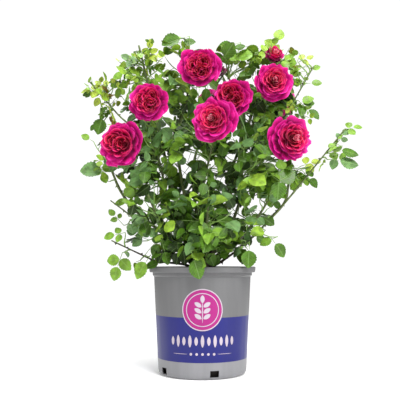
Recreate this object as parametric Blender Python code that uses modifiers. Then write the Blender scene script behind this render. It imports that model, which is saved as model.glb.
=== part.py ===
"""A rose bush in bloom, growing in a round nursery pot filled with compost.

Metres, +Z up. The origin is the centre of the pot's flat underside, and -Y is the front of
the bush, the side that most of its blooms face.

Canes rise from a short crown at the compost, arch outwards and end where they enter a mass
of foliage. Each mass is one stem with twigs and leaves fused on by a seeded rule, and keeps
to its own space. A bloom is fused on its stalk, which goes on from the stem of its mass.
"""

import math
import random
from collections import namedtuple

import bmesh
import bpy
from mathutils import Matrix, Quaternion, Vector
from mathutils.bvhtree import BVHTree

SEED = 7
# Clearance between neighbouring solids that touch on the real bush
GAP = 0.0003

# The pot, a size 2 nursery container
POT_HEIGHT = 0.2205
RIM_RADIUS = 0.1125
RIM_HEIGHT = 0.0115
RIM_ROUND = 0.003
RIM_DRAFT = 0.001
RIM_LIP = 0.002
COLLAR_HEIGHT = 0.008
COLLAR_OUT = 0.003
COLLAR_EDGE = 0.001
WALL_TOP_RADIUS = 0.1020
WALL_FOOT_RADIUS = 0.0930
FOOT_HEIGHT = 0.030
FOOT_DRAFT = 0.001
CORNER_RADIUS = 0.011
WALL = 0.0018
POT_SEGMENTS = 28
DRAIN_HOLES = 5
DRAIN_HOLE_TURN = math.radians(15)
DRAIN_HOLE_WIDTH = 0.018
DRAIN_HOLE_FOOT = 0.0055
DRAIN_HOLE_TOP = 0.0185
DRAIN_CUT_DEPTH = 0.022

# The compost and the crown that the canes rise from
COMPOST_TOP = 0.200
COMPOST_DOME = 0.003
COMPOST_SLACK = 0.0006
COMPOST_FLAT = 0.037
CROWN_FLARE_RADIUS = 0.031
CROWN_FLARE_HEIGHT = 0.012
CROWN_WAIST_RADIUS = 0.021
CROWN_KNUCKLE_RADIUS = 0.022
CROWN_KNUCKLE_HEIGHT = 0.010
CROWN_SHOULDER = 0.014
CROWN_TIP_RADIUS = 0.013
CROWN_TIP_DROP = 0.004
CROWN_HEIGHT = 0.044
CROWN_SEGMENTS = 10
# Heights above the compost at which canes leave the crown, and how steeply
TIER_HEIGHTS = (0.014, 0.026, 0.035)
TIER_LEANS = (math.radians(28), math.radians(48), math.radians(66))
# How far out in the knuckle a cane's axis starts
CANE_START_SHARE = 0.45

# Canes and the stems inside the masses
CANE_FOOT_RADIUS = 0.0043
CANE_TIP_RADIUS = 0.0027
SIDE_CANE_FOOT_RADIUS = 0.0031
STEM_TIP_RADIUS = 0.0021
CANE_POINTS = 8
STEM_POINTS = 6
# The straight stretch at each end of a limb, so that limbs meet end to end
STRAIGHT_END = 0.006
# How strongly a forking cane turns out towards its mass, and a stem rises at its end
FORK_OUTWARDS = 1.6
CREST_RISE = 0.5
FOOT_MASS_RISE = 0.4
# What a limb is cut back from another by
CUT_GAP = 0.00036
# How far out in its mass a stem starts and ends, where 1 is the mass's skin
FOOT_DEPTH = 0.80
TIP_DEPTH = 0.72
BLOOM_TIP_DEPTH = 0.55
LEAST_STEM = 0.040
# The least share of its stem at which a mass's first twig stands
LEAST_SHARE = 0.04
FOOT_MASS_LEAST_SHARE = 0.25

# Twigs and leaves. A spray is a compound leaf, with its leaflets in pairs and one at the tip
TWIG_RADIUS = 0.0015
TWIG_TAPER = 0.85
TWIG_SIDES = 3
LEAFLET_LENGTH = 0.050
LEAFLET_WIDTH = 0.040
LEAFLET_WIDEST = 0.42
LEAFLET_THICKNESS = 0.0013
LEAFLET_LIFT = 0.0045
LEAFLET_SINK = 0.0004
LEAFLET_SPREAD = math.radians(70)
PAIR_SPACING = 0.029
PAIR_OFFSET = 0.0025
LAST_SPACING = 0.019
SHORTEST_TWIG = 0.008
SHARPEST_BEND = -0.1
LONE_TWIG_END = 0.006
TIP_LEAFLET_SINK = 0.002
TIP_LEAFLET_SIZE = 1.08
FIRST_PAIR_SIZE = 0.90
# How far back from its spot a spray's twig ends, in leaflet lengths
SPRAY_BACK = 0.15
LONE_BACK = 0.45
# What turns a spray's upper side outwards and up, and what makes sprays differ
OUT_OF_CROWN = 0.4
UPWARDS = 0.5
NORMAL_STRAY = 0.4
WAY_STRAY = 0.8
FLATTENED = 0.9
ROOT_STRAY = 0.25
SIZE_STRAY = 0.08
# Later tries at a spray are smaller and have fewer pairs of leaflets
SHRINK = 0.15
TWO_PAIRS_UNTIL = 0.3
ONE_PAIR_UNTIL = 0.85
SPRAY_VARIANTS = 60
SPOT_SPACING = 0.037
SPOT_SKIN = 0.84
SPOT_DRAWS = 260
# The share of its stem that the spots of a mass spread out from
SPOT_CENTRE_SHARE = 0.7
SHARE_STEPS = 20
# Leaves are of full size in a mass of the usual reach, and smaller in a small one
USUAL_REACH = 0.074
LEAST_SIZE = 0.72
MOST_SIZE = 1.15
CELL_MARGIN = 0.0005

# Blooms. Each ring is its share of the radius, its place in the depth and how far it is lobed
STALK_LENGTH = 0.030
STALK_DROP = 0.024
STALK_POINTS = 5
CALYX_SIDES = 5
CALYX_SHARE = 0.42
CALYX_LENGTH = 0.016
CALYX_FOOT_RADIUS = 0.0027
BLOOM_SEGMENTS = 10
BLOOM_DEPTH_SHARE = 0.62
BLOOM_FOOT = -0.46
BLOOM_EYE = 0.34
BLOOM_RINGS = (
    (0.46, -0.38, 0.00),
    (0.92, 0.02, 0.08),
    (0.80, 0.22, -0.08),
    (0.60, 0.30, 0.07),
    (0.40, 0.50, -0.05),
)
BLOOM_CLEAR_DEPTH = 0.035
BLOOM_CLEAR_SHARE = 0.47

Mass = namedtuple("Mass", "centre reach foot")
Bloom = namedtuple("Bloom", "centre diameter faces mass")

# Each mass: its centre, its half-sizes and where its limb starts.
# A limb starts on the crown, at an azimuth in degrees and a tier, or forks from the cane of
# another mass at a share of that cane's length.
MASSES = {
    "left_top": Mass((-0.130, 0.000, 0.655), (0.066, 0.070, 0.068), (193, 2)),
    "centre_top": Mass((-0.053, 0.010, 0.629), (0.054, 0.062, 0.102), (243, 2)),
    "right_top": Mass((0.160, 0.045, 0.700), (0.058, 0.060, 0.062), (8, 2)),
    "rear_mid": Mass((0.000, 0.160, 0.590), (0.082, 0.066, 0.105), (96, 2)),
    "left_out": Mass((-0.225, 0.000, 0.443), (0.048, 0.060, 0.072), (168, 1)),
    "left_body": Mass((-0.112, -0.010, 0.464), (0.090, 0.100, 0.106), (218, 1)),
    "centre": Mass((-0.005, -0.020, 0.464), (0.078, 0.100, 0.108), (294, 2)),
    "right_body": Mass((0.112, -0.030, 0.438), (0.084, 0.100, 0.096), (318, 1)),
    "right_upper": Mass((0.119, 0.030, 0.576), (0.076, 0.088, 0.084), (31, 1)),
    "rear_left": Mass((-0.140, 0.130, 0.560), (0.082, 0.070, 0.105), (128, 1)),
    "rear_right": Mass((0.140, 0.130, 0.550), (0.082, 0.070, 0.105), (64, 1)),
    "left_low": Mass((-0.158, -0.030, 0.251), (0.052, 0.055, 0.060), (196, 0)),
    "right_long": Mass((0.280, -0.020, 0.472), (0.070, 0.055, 0.066), (356, 0)),
    "left_foot": Mass((-0.085, -0.050, 0.312), (0.080, 0.088, 0.090), (226, 0)),
    "centre_foot": Mass((0.009, -0.076, 0.306), (0.072, 0.080, 0.088), (272, 0)),
    "right_foot": Mass((0.106, -0.032, 0.308), (0.074, 0.088, 0.088), (312, 0)),
    "rear_low": Mass((0.000, 0.110, 0.350), (0.115, 0.078, 0.100), (92, 0)),
    "left_mid": Mass((-0.172, 0.000, 0.335), (0.048, 0.055, 0.052), ("left_out", 0.36)),
    "left_top_out": Mass((-0.226, 0.020, 0.591), (0.052, 0.055, 0.068), ("left_top", 0.62)),
    "high_top": Mass((0.068, 0.030, 0.676), (0.066, 0.066, 0.056), ("right_top", 0.55)),
    "right_out": Mass((0.222, 0.000, 0.608), (0.046, 0.055, 0.084), ("right_upper", 0.55)),
    "right_side": Mass((0.209, 0.020, 0.417), (0.054, 0.062, 0.056), ("right_long", 0.50)),
}
FOOT_MASSES = ("left_foot", "centre_foot", "right_foot", "rear_low")

BLOOMS = {
    "bloom_left": Bloom((-0.165, -0.100, 0.467), 0.090, (-0.30, -0.95, -0.05), "left_out"),
    "bloom_upper_left": Bloom((-0.111, -0.090, 0.555), 0.078, (-0.08, -0.99, -0.05), "left_body"),
    "bloom_top": Bloom((-0.006, -0.060, 0.636), 0.087, (-0.04, -0.98, -0.14), "centre_top"),
    "bloom_middle": Bloom((0.059, -0.060, 0.572), 0.087, (-0.08, -0.98, -0.08), "right_body"),
    "bloom_front": Bloom((0.020, -0.130, 0.508), 0.086, (-0.25, -0.97, 0.00), "centre"),
    "bloom_upper_right": Bloom((0.150, -0.050, 0.608), 0.082, (0.08, -0.99, -0.02), "right_upper"),
    "bloom_right": Bloom((0.182, -0.080, 0.480), 0.092, (0.36, -0.93, -0.08), "right_side"),
    "bloom_half_open": Bloom((0.159, 0.020, 0.686), 0.049, (0.25, -0.80, 0.50), "right_top"),
    "bloom_behind": Bloom((0.022, 0.022, 0.656), 0.080, (-0.20, -0.55, 0.81), "high_top"),
    "bloom_rear_left": Bloom((-0.132, 0.190, 0.622), 0.084, (-0.30, 0.90, 0.30), "rear_left"),
    "bloom_rear_mid": Bloom((0.030, 0.210, 0.622), 0.084, (0.05, 0.92, 0.38), "rear_mid"),
    "bloom_rear_right": Bloom((0.185, 0.180, 0.620), 0.084, (0.35, 0.90, 0.26), "rear_right"),
}

# Name: colour, roughness
FINISHES = {
    "pot_plastic": ((0.36, 0.37, 0.39), 0.45),
    "compost": ((0.05, 0.035, 0.025), 0.95),
    "cane_bark": ((0.10, 0.14, 0.05), 0.60),
    "leaf": ((0.08, 0.20, 0.04), 0.45),
    "petal": ((0.72, 0.02, 0.28), 0.50),
}


def clear_scene():
    """Removes whatever the scene holds at the start."""
    for obj in list(bpy.data.objects):
        bpy.data.objects.remove(obj, do_unlink=True)


def finish(name):
    """The Principled material of that name, made on first use."""
    material = bpy.data.materials.get(name)
    if material:
        return material
    colour, roughness = FINISHES[name]
    material = bpy.data.materials.new(name)
    material.use_nodes = True
    shader = material.node_tree.nodes["Principled BSDF"]
    shader.inputs["Base Color"].default_value = (*colour, 1.0)
    shader.inputs["Roughness"].default_value = roughness
    shader.inputs["Metallic"].default_value = 0.0
    return material


def add_object(name, mesh, collection):
    """A new object for the mesh, linked to the collection."""
    obj = bpy.data.objects.new(name, mesh)
    collection.objects.link(obj)
    return obj


def paint(obj, material):
    """Gives the object that one material."""
    obj.data.materials.clear()
    obj.data.materials.append(finish(material))


def evaluated_mesh(obj):
    """A copy of the object's mesh with its modifiers applied."""
    bpy.context.view_layer.update()
    graph = bpy.context.evaluated_depsgraph_get()
    return bpy.data.meshes.new_from_object(obj.evaluated_get(graph))


def apply_modifiers(obj):
    """Replaces the object's mesh by its evaluated one."""
    mesh = evaluated_mesh(obj)
    obj.modifiers.clear()
    obj.data = mesh


def mesh_from(bm, name="piece"):
    """A mesh made from the bmesh, which is freed."""
    mesh = bpy.data.meshes.new(name)
    bm.to_mesh(mesh)
    bm.free()
    return mesh


def tree_of(mesh):
    """A search tree of the mesh's faces."""
    corners = [v.co.copy() for v in mesh.vertices]
    return BVHTree.FromPolygons(corners, [tuple(p.vertices) for p in mesh.polygons])


def turned(name, profile, segments, collection, material):
    """A solid of revolution about Z from (radius, height) points, which run down the outside."""
    mesh = bpy.data.meshes.new(name)
    points = [(radius, 0.0, height) for radius, height in profile]
    mesh.from_pydata(points, [(i, i + 1) for i in range(len(points) - 1)], [])
    obj = add_object(name, mesh, collection)
    screw = obj.modifiers.new("Turn", "SCREW")
    screw.steps = segments
    screw.render_steps = segments
    screw.use_merge_vertices = True
    screw.merge_threshold = 0.0001
    apply_modifiers(obj)
    paint(obj, material)
    return obj


def tube(name, points, radii, collection, bevel_resolution):
    """A tapering limb along the points, as a closed mesh with flat ends."""
    curve = bpy.data.curves.new(name, "CURVE")
    curve.dimensions = "3D"
    curve.bevel_depth = 1.0
    curve.bevel_resolution = bevel_resolution
    curve.use_fill_caps = True
    spline = curve.splines.new("POLY")
    spline.points.add(len(points) - 1)
    for spot, point, radius in zip(spline.points, points, radii):
        spot.co = (*point, 1.0)
        spot.radius = radius
    guide = add_object(name + "_guide", curve, collection)
    mesh = evaluated_mesh(guide)
    bpy.data.objects.remove(guide)
    bm = bmesh.new()
    bm.from_mesh(mesh)
    bmesh.ops.remove_doubles(bm, verts=bm.verts, dist=1e-6)
    bm.to_mesh(mesh)
    bm.free()
    return add_object(name, mesh, collection)


def cut_clear(obj, cutter):
    """Cuts the object back from the cutter, which is then removed."""
    cut = obj.modifiers.new("Clear", "BOOLEAN")
    cut.operation = "DIFFERENCE"
    cut.object = cutter
    apply_modifiers(obj)
    bpy.data.objects.remove(cutter)


def fuse(base, pieces):
    """Joins the pieces to the base by one union, and removes them and their collection."""
    union = base.modifiers.new("Fuse", "BOOLEAN")
    union.operation = "UNION"
    union.operand_type = "COLLECTION"
    union.collection = pieces
    union.solver = "MANIFOLD"
    apply_modifiers(base)
    for obj in list(pieces.objects):
        bpy.data.objects.remove(obj)
    bpy.data.collections.remove(pieces)


def mean(values):
    """The mean of a few numbers."""
    return sum(values) / len(values)


def smooth_path(start, start_way, end, end_way, count):
    """Points of a limb from start to end, straight for a little at both of its ends."""
    leave, arrive = start_way.normalized(), end_way.normalized()
    first, last = start + leave * STRAIGHT_END, end - arrive * STRAIGHT_END
    span = (last - first).length
    points = [start]
    for i in range(count - 2):
        t = i / (count - 3)
        points.append(
            first * (2 * t**3 - 3 * t**2 + 1)
            + leave * span * (t**3 - 2 * t**2 + t)
            + last * (3 * t**2 - 2 * t**3)
            + arrive * span * (t**3 - t**2)
        )
    return points + [end]


def tapered(start_radius, end_radius, count):
    """Radii that fall evenly from one end of a limb to the other."""
    return [start_radius + (end_radius - start_radius) * i / (count - 1) for i in range(count)]


def along(points, share):
    """The point at a share of a path's length in steps, and the direction there."""
    place = min(max(share, 0.0), 0.999) * (len(points) - 1)
    i = int(place)
    way = (points[i + 1] - points[i]).normalized()
    return points[i].lerp(points[i + 1], place - i), way


# --- Pot, compost and crown ---------------------------------------------------------------


def pot_outside():
    """The pot's outer profile from the rim down to the edge of its underside."""
    rim_foot = POT_HEIGHT - RIM_HEIGHT
    corner_centre = WALL_FOOT_RADIUS - CORNER_RADIUS - FOOT_DRAFT
    corner = [
        (
            corner_centre + CORNER_RADIUS * math.cos(math.radians(angle)),
            CORNER_RADIUS * (1 + math.sin(math.radians(angle))),
        )
        for angle in (0, -30, -60, -90)
    ]
    return [
        (RIM_RADIUS - RIM_ROUND, POT_HEIGHT),
        (RIM_RADIUS, POT_HEIGHT - RIM_ROUND),
        (RIM_RADIUS - RIM_DRAFT, rim_foot),
        (WALL_TOP_RADIUS + COLLAR_OUT, rim_foot),
        (WALL_TOP_RADIUS + COLLAR_OUT - COLLAR_EDGE, rim_foot - COLLAR_HEIGHT + COLLAR_EDGE),
        (WALL_TOP_RADIUS, rim_foot - COLLAR_HEIGHT),
        (WALL_FOOT_RADIUS, FOOT_HEIGHT),
        *corner,
    ]


def pot_inside():
    """The pot's inner profile from the middle of its floor up to the rim."""
    return [
        (0.0, WALL),
        (WALL_FOOT_RADIUS - CORNER_RADIUS - FOOT_DRAFT, WALL),
        (WALL_FOOT_RADIUS - WALL - FOOT_DRAFT, CORNER_RADIUS),
        (WALL_FOOT_RADIUS - WALL, FOOT_HEIGHT),
        (WALL_TOP_RADIUS - WALL, POT_HEIGHT - RIM_HEIGHT - COLLAR_HEIGHT),
        (WALL_TOP_RADIUS - WALL + RIM_DRAFT, POT_HEIGHT - RIM_ROUND),
        (WALL_TOP_RADIUS + RIM_LIP, POT_HEIGHT),
    ]


def build_pot(collection):
    """The open pot with a ring of square drain holes low in its wall."""
    profile = pot_inside() + pot_outside() + [(0.0, 0.0)]
    pot = turned("pot", profile, POT_SEGMENTS, collection, "pot_plastic")
    bm = bmesh.new()
    for i in range(DRAIN_HOLES):
        turn = DRAIN_HOLE_TURN + i * math.tau / DRAIN_HOLES
        way = Vector((math.sin(turn), -math.cos(turn), 0.0))
        middle = way * WALL_FOOT_RADIUS
        middle.z = (DRAIN_HOLE_FOOT + DRAIN_HOLE_TOP) / 2
        size = (DRAIN_HOLE_WIDTH, DRAIN_CUT_DEPTH, DRAIN_HOLE_TOP - DRAIN_HOLE_FOOT)
        box = bmesh.ops.create_cube(bm, size=1.0)["verts"]
        bmesh.ops.scale(bm, verts=box, vec=size)
        place = Matrix.Translation(middle) @ Matrix.Rotation(turn, 4, "Z")
        bmesh.ops.transform(bm, verts=box, matrix=place)
    cut_clear(pot, add_object("drain_cutter", mesh_from(bm), collection))


def build_compost(collection):
    """The root ball's compost, which fills the pot to a little under the rim."""
    floor, corner, foot, top = pot_inside()[1:5]
    edge = COMPOST_TOP - COMPOST_DOME
    edge_radius = foot[0] + (top[0] - foot[0]) * (edge - foot[1]) / (top[1] - foot[1])
    profile = [
        (0.0, COMPOST_TOP),
        (COMPOST_FLAT, COMPOST_TOP),
        (edge_radius - COMPOST_SLACK, edge),
        (foot[0] - COMPOST_SLACK, foot[1]),
        (corner[0] - COMPOST_SLACK, corner[1]),
        (floor[0] - COMPOST_SLACK, WALL + GAP),
        (0.0, WALL + GAP),
    ]
    turned("compost", profile, POT_SEGMENTS, collection, "compost")


def build_crown(collection, margin=0.0):
    """The woody crown: a flared foot with a flat cut, a waist and a rounded knuckle."""
    foot = COMPOST_TOP + GAP - margin
    top = COMPOST_TOP + CROWN_HEIGHT + margin
    profile = [
        (0.0, top),
        (CROWN_TIP_RADIUS + margin, top - CROWN_TIP_DROP),
        (CROWN_KNUCKLE_RADIUS + margin, top - CROWN_SHOULDER),
        (CROWN_WAIST_RADIUS + margin, top - CROWN_SHOULDER - CROWN_KNUCKLE_HEIGHT),
        (CROWN_WAIST_RADIUS + margin, foot + CROWN_FLARE_HEIGHT),
        (CROWN_FLARE_RADIUS + margin, foot),
        (0.0, foot),
    ]
    return turned("crown", profile, CROWN_SEGMENTS, collection, "cane_bark")


# --- Limbs --------------------------------------------------------------------------------


def limb_start(mass, cane_paths):
    """Where the limb of a mass starts, and the direction in which it leaves."""
    if mass.foot[0] in cane_paths:
        start, way = along(cane_paths[mass.foot[0]], mass.foot[1])
        outwards = (Vector(mass.centre) - start).normalized()
        return start, way + outwards * FORK_OUTWARDS
    azimuth, tier = math.radians(mass.foot[0]), mass.foot[1]
    lean = TIER_LEANS[tier]
    outwards = Vector((math.cos(azimuth), math.sin(azimuth), 0.0))
    start = outwards * (CROWN_KNUCKLE_RADIUS * CANE_START_SHARE)
    start.z = COMPOST_TOP + TIER_HEIGHTS[tier]
    return start, outwards * math.cos(lean) + Vector((0, 0, math.sin(lean)))


def scaled(way, reach):
    """A direction from the centre of an ellipsoid, as long as the ellipsoid reaches that way."""
    way = way.normalized()
    return way / math.sqrt(sum((way[i] / reach[i]) ** 2 for i in range(3)))


def bloom_back(bloom):
    """The point at the back of a bloom where its stalk arrives."""
    faces = Vector(bloom.faces).normalized()
    return Vector(bloom.centre) + faces * (bloom.diameter * BLOOM_DEPTH_SHARE * BLOOM_FOOT)


def stem_tip(name, mass, start):
    """The end of a mass's stem: towards the back of its bloom, or near its crest."""
    centre = Vector(mass.centre)
    for bloom in BLOOMS.values():
        if bloom.mass == name:
            faces = Vector(bloom.faces).normalized()
            aim = bloom_back(bloom) - faces * STALK_LENGTH - Vector((0, 0, STALK_DROP))
            edge = scaled(aim - centre, mass.reach) * BLOOM_TIP_DEPTH
            return centre + edge if edge.length < (aim - centre).length else aim
    onwards = (centre - start).normalized() + Vector((0, 0, CREST_RISE))
    return centre + scaled(onwards, mass.reach) * TIP_DEPTH


def stem_foot(mass, start, tip):
    """Where the limb enters the mass, a clear stretch short of the stem's tip."""
    centre = Vector(mass.centre)
    inwards = (centre - start).normalized()
    foot = centre - scaled(inwards, mass.reach) * FOOT_DEPTH
    short = LEAST_STEM - (tip - foot).dot(inwards)
    return foot - inwards * max(short, 0.0)


def inflated(path, radii, collection):
    """A cutter that holds the limb and the gap around it."""
    return tube("cutter", path, [radius + CUT_GAP for radius in radii], collection, 1)


def build_limbs(collection):
    """Builds every cane. Returns the paths of the canes and, for each mass, its stem's path."""
    cane_paths, cane_radii, stems = {}, {}, {}
    for name, mass in MASSES.items():
        start, leaving = limb_start(mass, cane_paths)
        tip = stem_tip(name, mass, start)
        foot = stem_foot(mass, start, tip)
        onwards = (tip - foot).normalized()
        if name in FOOT_MASSES:
            arriving = onwards + Vector((0, 0, FOOT_MASS_RISE))
            path = smooth_path(start, leaving, tip, arriving, CANE_POINTS)
            stems[name] = (path, tapered(CANE_FOOT_RADIUS, STEM_TIP_RADIUS, CANE_POINTS))
            continue
        path = smooth_path(start, leaving, foot, onwards, CANE_POINTS)
        forks = mass.foot[0] in cane_paths
        foot_radius = SIDE_CANE_FOOT_RADIUS if forks else CANE_FOOT_RADIUS
        radii = tapered(foot_radius, CANE_TIP_RADIUS, CANE_POINTS)
        cane = tube("cane_" + name, path, radii, collection, 1)
        if forks:
            parent = mass.foot[0]
            cutter = inflated(cane_paths[parent], cane_radii[parent], collection)
        else:
            cutter = build_crown(collection, GAP)
        cut_clear(cane, cutter)
        paint(cane, "cane_bark")
        cane_paths[name], cane_radii[name] = path, radii
        begin = foot + (path[-1] - path[-2]).normalized() * GAP
        stem_path = smooth_path(begin, onwards, tip, onwards, STEM_POINTS)
        stems[name] = (stem_path, tapered(CANE_TIP_RADIUS, STEM_TIP_RADIUS, STEM_POINTS))
    return stems


# --- Blooms -------------------------------------------------------------------------------


def facing_frame(point, forward, upward):
    """A matrix at the point whose X runs forward and whose Z is nearest to upward."""
    x = forward.normalized()
    y = upward.cross(x)
    if y.length < 1e-4:
        y = Vector((0, 1, 0)).cross(x)
    y.normalize()
    z = x.cross(y)
    turn = Matrix((x, y, z)).transposed().to_4x4()
    return Matrix.Translation(point) @ turn


def blade(length, width, thickness, lift):
    """A leaf of eight faces along +X, its sides lifted from a sunken midrib."""
    bm = bmesh.new()
    bmesh.ops.create_uvsphere(bm, u_segments=4, v_segments=2, radius=1.0)
    for vert in bm.verts:
        side = abs(vert.co.y) > 0.5
        x = length * (LEAFLET_WIDEST if side else (vert.co.x + 1) / 2)
        z = lift if side else vert.co.z * thickness / 2
        vert.co = (x, vert.co.y * width / 2, z)
    return bm


def new_pieces(name):
    """An empty collection for the pieces of one solid."""
    pieces = bpy.data.collections.new(name + "_pieces")
    bpy.context.scene.collection.children.link(pieces)
    return pieces


def bloom_body(bloom):
    """The cupped, lobed body of a bloom about the origin, its open face towards +Z."""
    radius, depth = bloom.diameter / 2, bloom.diameter * BLOOM_DEPTH_SHARE
    bm = bmesh.new()
    bmesh.ops.create_uvsphere(
        bm, u_segments=BLOOM_SEGMENTS, v_segments=len(BLOOM_RINGS) + 1, radius=1.0
    )
    for vert in bm.verts:
        if abs(vert.co.z) > 0.999:
            vert.co = (0.0, 0.0, depth * (BLOOM_EYE if vert.co.z > 0 else BLOOM_FOOT))
            continue
        ring = round((1 - math.acos(vert.co.z) / math.pi) * (len(BLOOM_RINGS) + 1)) - 1
        share, height, lobes = BLOOM_RINGS[ring]
        turn = math.atan2(vert.co.y, vert.co.x)
        width = radius * (share + lobes * math.cos(turn * BLOOM_SEGMENTS / 2))
        vert.co = (width * math.cos(turn), width * math.sin(turn), depth * height)
    return bm


def build_bloom(name, bloom, stem, collection):
    """Builds a bloom on its calyx and its stalk, which goes on from the stem of its mass."""
    faces = Vector(bloom.faces).normalized()
    depth = bloom.diameter * BLOOM_DEPTH_SHARE
    frame = Matrix.Translation(bloom.centre) @ faces.to_track_quat("Z", "Y").to_matrix().to_4x4()
    pieces = new_pieces(name)

    body = bloom_body(bloom)
    bmesh.ops.transform(body, verts=body.verts, matrix=frame)
    add_object("body", mesh_from(body), pieces)

    calyx = bmesh.new()
    bmesh.ops.create_cone(
        calyx,
        cap_ends=True,
        segments=CALYX_SIDES,
        radius1=CALYX_FOOT_RADIUS,
        radius2=bloom.diameter * CALYX_SHARE / 2,
        depth=CALYX_LENGTH,
    )
    back = Matrix.Translation((0.0, 0.0, depth * BLOOM_FOOT))
    bmesh.ops.transform(calyx, verts=calyx.verts, matrix=frame @ back)
    add_object("calyx", mesh_from(calyx), pieces)

    path, radii = stem
    way = (path[-1] - path[-2]).normalized()
    start = path[-1] + way * GAP
    stalk_path = smooth_path(start, way, bloom_back(bloom), faces, STALK_POINTS)
    stalk = tube(name, stalk_path, [radii[-1]] * STALK_POINTS, collection, 0)
    fuse(stalk, pieces)
    paint(stalk, "petal")


# --- Masses of foliage --------------------------------------------------------------------


class Space:
    """The space that one mass keeps to, and the solids that its leaves stay clear of.

    A mass's space is its ellipsoid, less what neighbouring masses hold a better claim to and
    less the air in front of each bloom.
    """

    def __init__(self, name, obstacles):
        mass = MASSES[name]
        self.centre = Vector(mass.centre)
        self.reach = mass.reach
        self.size = min(max(mean(mass.reach) / USUAL_REACH, LEAST_SIZE), MOST_SIZE)
        self.obstacles = obstacles
        self.grown = []
        self.rivals = []
        for other in MASSES.values():
            centre = Vector(other.centre)
            apart = (centre - self.centre).length
            if 0 < apart < max(mass.reach) + max(other.reach):
                claim = mean(other.reach) ** 2 + 2 * CELL_MARGIN * apart
                self.rivals.append((centre, claim - mean(mass.reach) ** 2))
        self.blooms = []
        for bloom in BLOOMS.values():
            faces = Vector(bloom.faces).normalized()
            clear_radius = bloom.diameter * BLOOM_CLEAR_SHARE
            self.blooms.append((Vector(bloom.centre), faces, clear_radius))

    def depth(self, point):
        """How far out the point lies in the ellipsoid, from 0 at its centre to 1 at its skin."""
        offset = point - self.centre
        return math.sqrt(sum((offset[i] / self.reach[i]) ** 2 for i in range(3)))

    def holds(self, point, skin=1.0):
        """Whether the point lies in the space, under its skin at that depth."""
        if self.depth(point) > skin:
            return False
        own = (point - self.centre).length_squared
        if any(own + claim > (point - centre).length_squared for centre, claim in self.rivals):
            return False
        for centre, faces, radius in self.blooms:
            offset = point - centre
            ahead = offset.dot(faces)
            if 0.0 < ahead < BLOOM_CLEAR_DEPTH and (offset - faces * ahead).length < radius:
                return False
        return True

    def takes(self, mesh):
        """Whether a piece lies in the space and touches nothing there."""
        corners = [vert.co for vert in mesh.vertices]
        if not all(self.holds(corner) for corner in corners):
            return False
        piece = tree_of(mesh)
        if any(grown.overlap(piece) for grown in self.grown):
            return False
        for tree in self.obstacles:
            if tree.overlap(piece):
                return False
            if any(tree.find_nearest(corner, 2 * GAP)[0] is not None for corner in corners):
                return False
        return True

    def spots(self, path, draw):
        """Points spread evenly through the space, each as far as it can be from the others."""
        drawn = []
        for _ in range(SPOT_DRAWS):
            offset = [reach * draw.uniform(-1, 1) for reach in self.reach]
            point = self.centre + Vector(offset)
            if self.holds(point, SPOT_SKIN):
                drawn.append(point)
        stem_middle = along(path, SPOT_CENTRE_SHARE)[0]
        nearest = {i: (stem_middle - point).length for i, point in enumerate(drawn)}
        spots = []
        while nearest:
            best = max(nearest, key=nearest.get)
            if nearest.pop(best) < SPOT_SPACING * self.size:
                break
            spots.append(drawn[best])
            for i in nearest:
                nearest[i] = min(nearest[i], (drawn[i] - drawn[best]).length)
        return spots


def twig(root, bend, end):
    """A three-sided twig from its root through its bend, thinning a little to its end."""
    bm = bmesh.new()
    bmesh.ops.create_cone(
        bm,
        cap_ends=True,
        segments=TWIG_SIDES,
        radius1=TWIG_RADIUS,
        radius2=TWIG_RADIUS * TWIG_TAPER,
        depth=(bend - root).length,
    )
    turn = (bend - root).to_track_quat("Z", "Y").to_matrix().to_4x4()
    bmesh.ops.transform(bm, verts=bm.verts, matrix=Matrix.Translation((root + bend) / 2) @ turn)
    cap = min(bm.faces, key=lambda face: (face.calc_center_median() - bend).length)
    turned_by = (bend - root).rotation_difference(end - bend)
    for corner in cap.verts:
        corner.co = bend + Quaternion().slerp(turned_by, 0.5) @ (corner.co - bend)
    cap = bmesh.ops.extrude_discrete_faces(bm, faces=[cap])["faces"][0]
    for corner in cap.verts:
        corner.co = end + Quaternion().slerp(turned_by, 0.5) @ (corner.co - bend) * TWIG_TAPER
    return mesh_from(bm)


def leaflet(root, forward, upward, size):
    """One leaflet whose base is sunk into its twig at the root."""
    bm = blade(
        LEAFLET_LENGTH * size, LEAFLET_WIDTH * size, LEAFLET_THICKNESS, LEAFLET_LIFT * size
    )
    sunk = root - forward.normalized() * LEAFLET_SINK
    bmesh.ops.transform(bm, verts=bm.verts, matrix=facing_frame(sunk, forward, upward))
    return mesh_from(bm)


def leaf_normal(spot, space, draw):
    """Which way a spray's upper side faces: out of its mass and the crown, and up."""
    out_of_mass = (spot - space.centre).normalized()
    out_of_crown = Vector((spot.x, spot.y, 0.0))
    stray = Vector([draw.uniform(-NORMAL_STRAY, NORMAL_STRAY) for _ in range(3)])
    outwards = out_of_mass + out_of_crown.normalized() * OUT_OF_CROWN
    return outwards + Vector((0, 0, UPWARDS)) + stray


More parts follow.
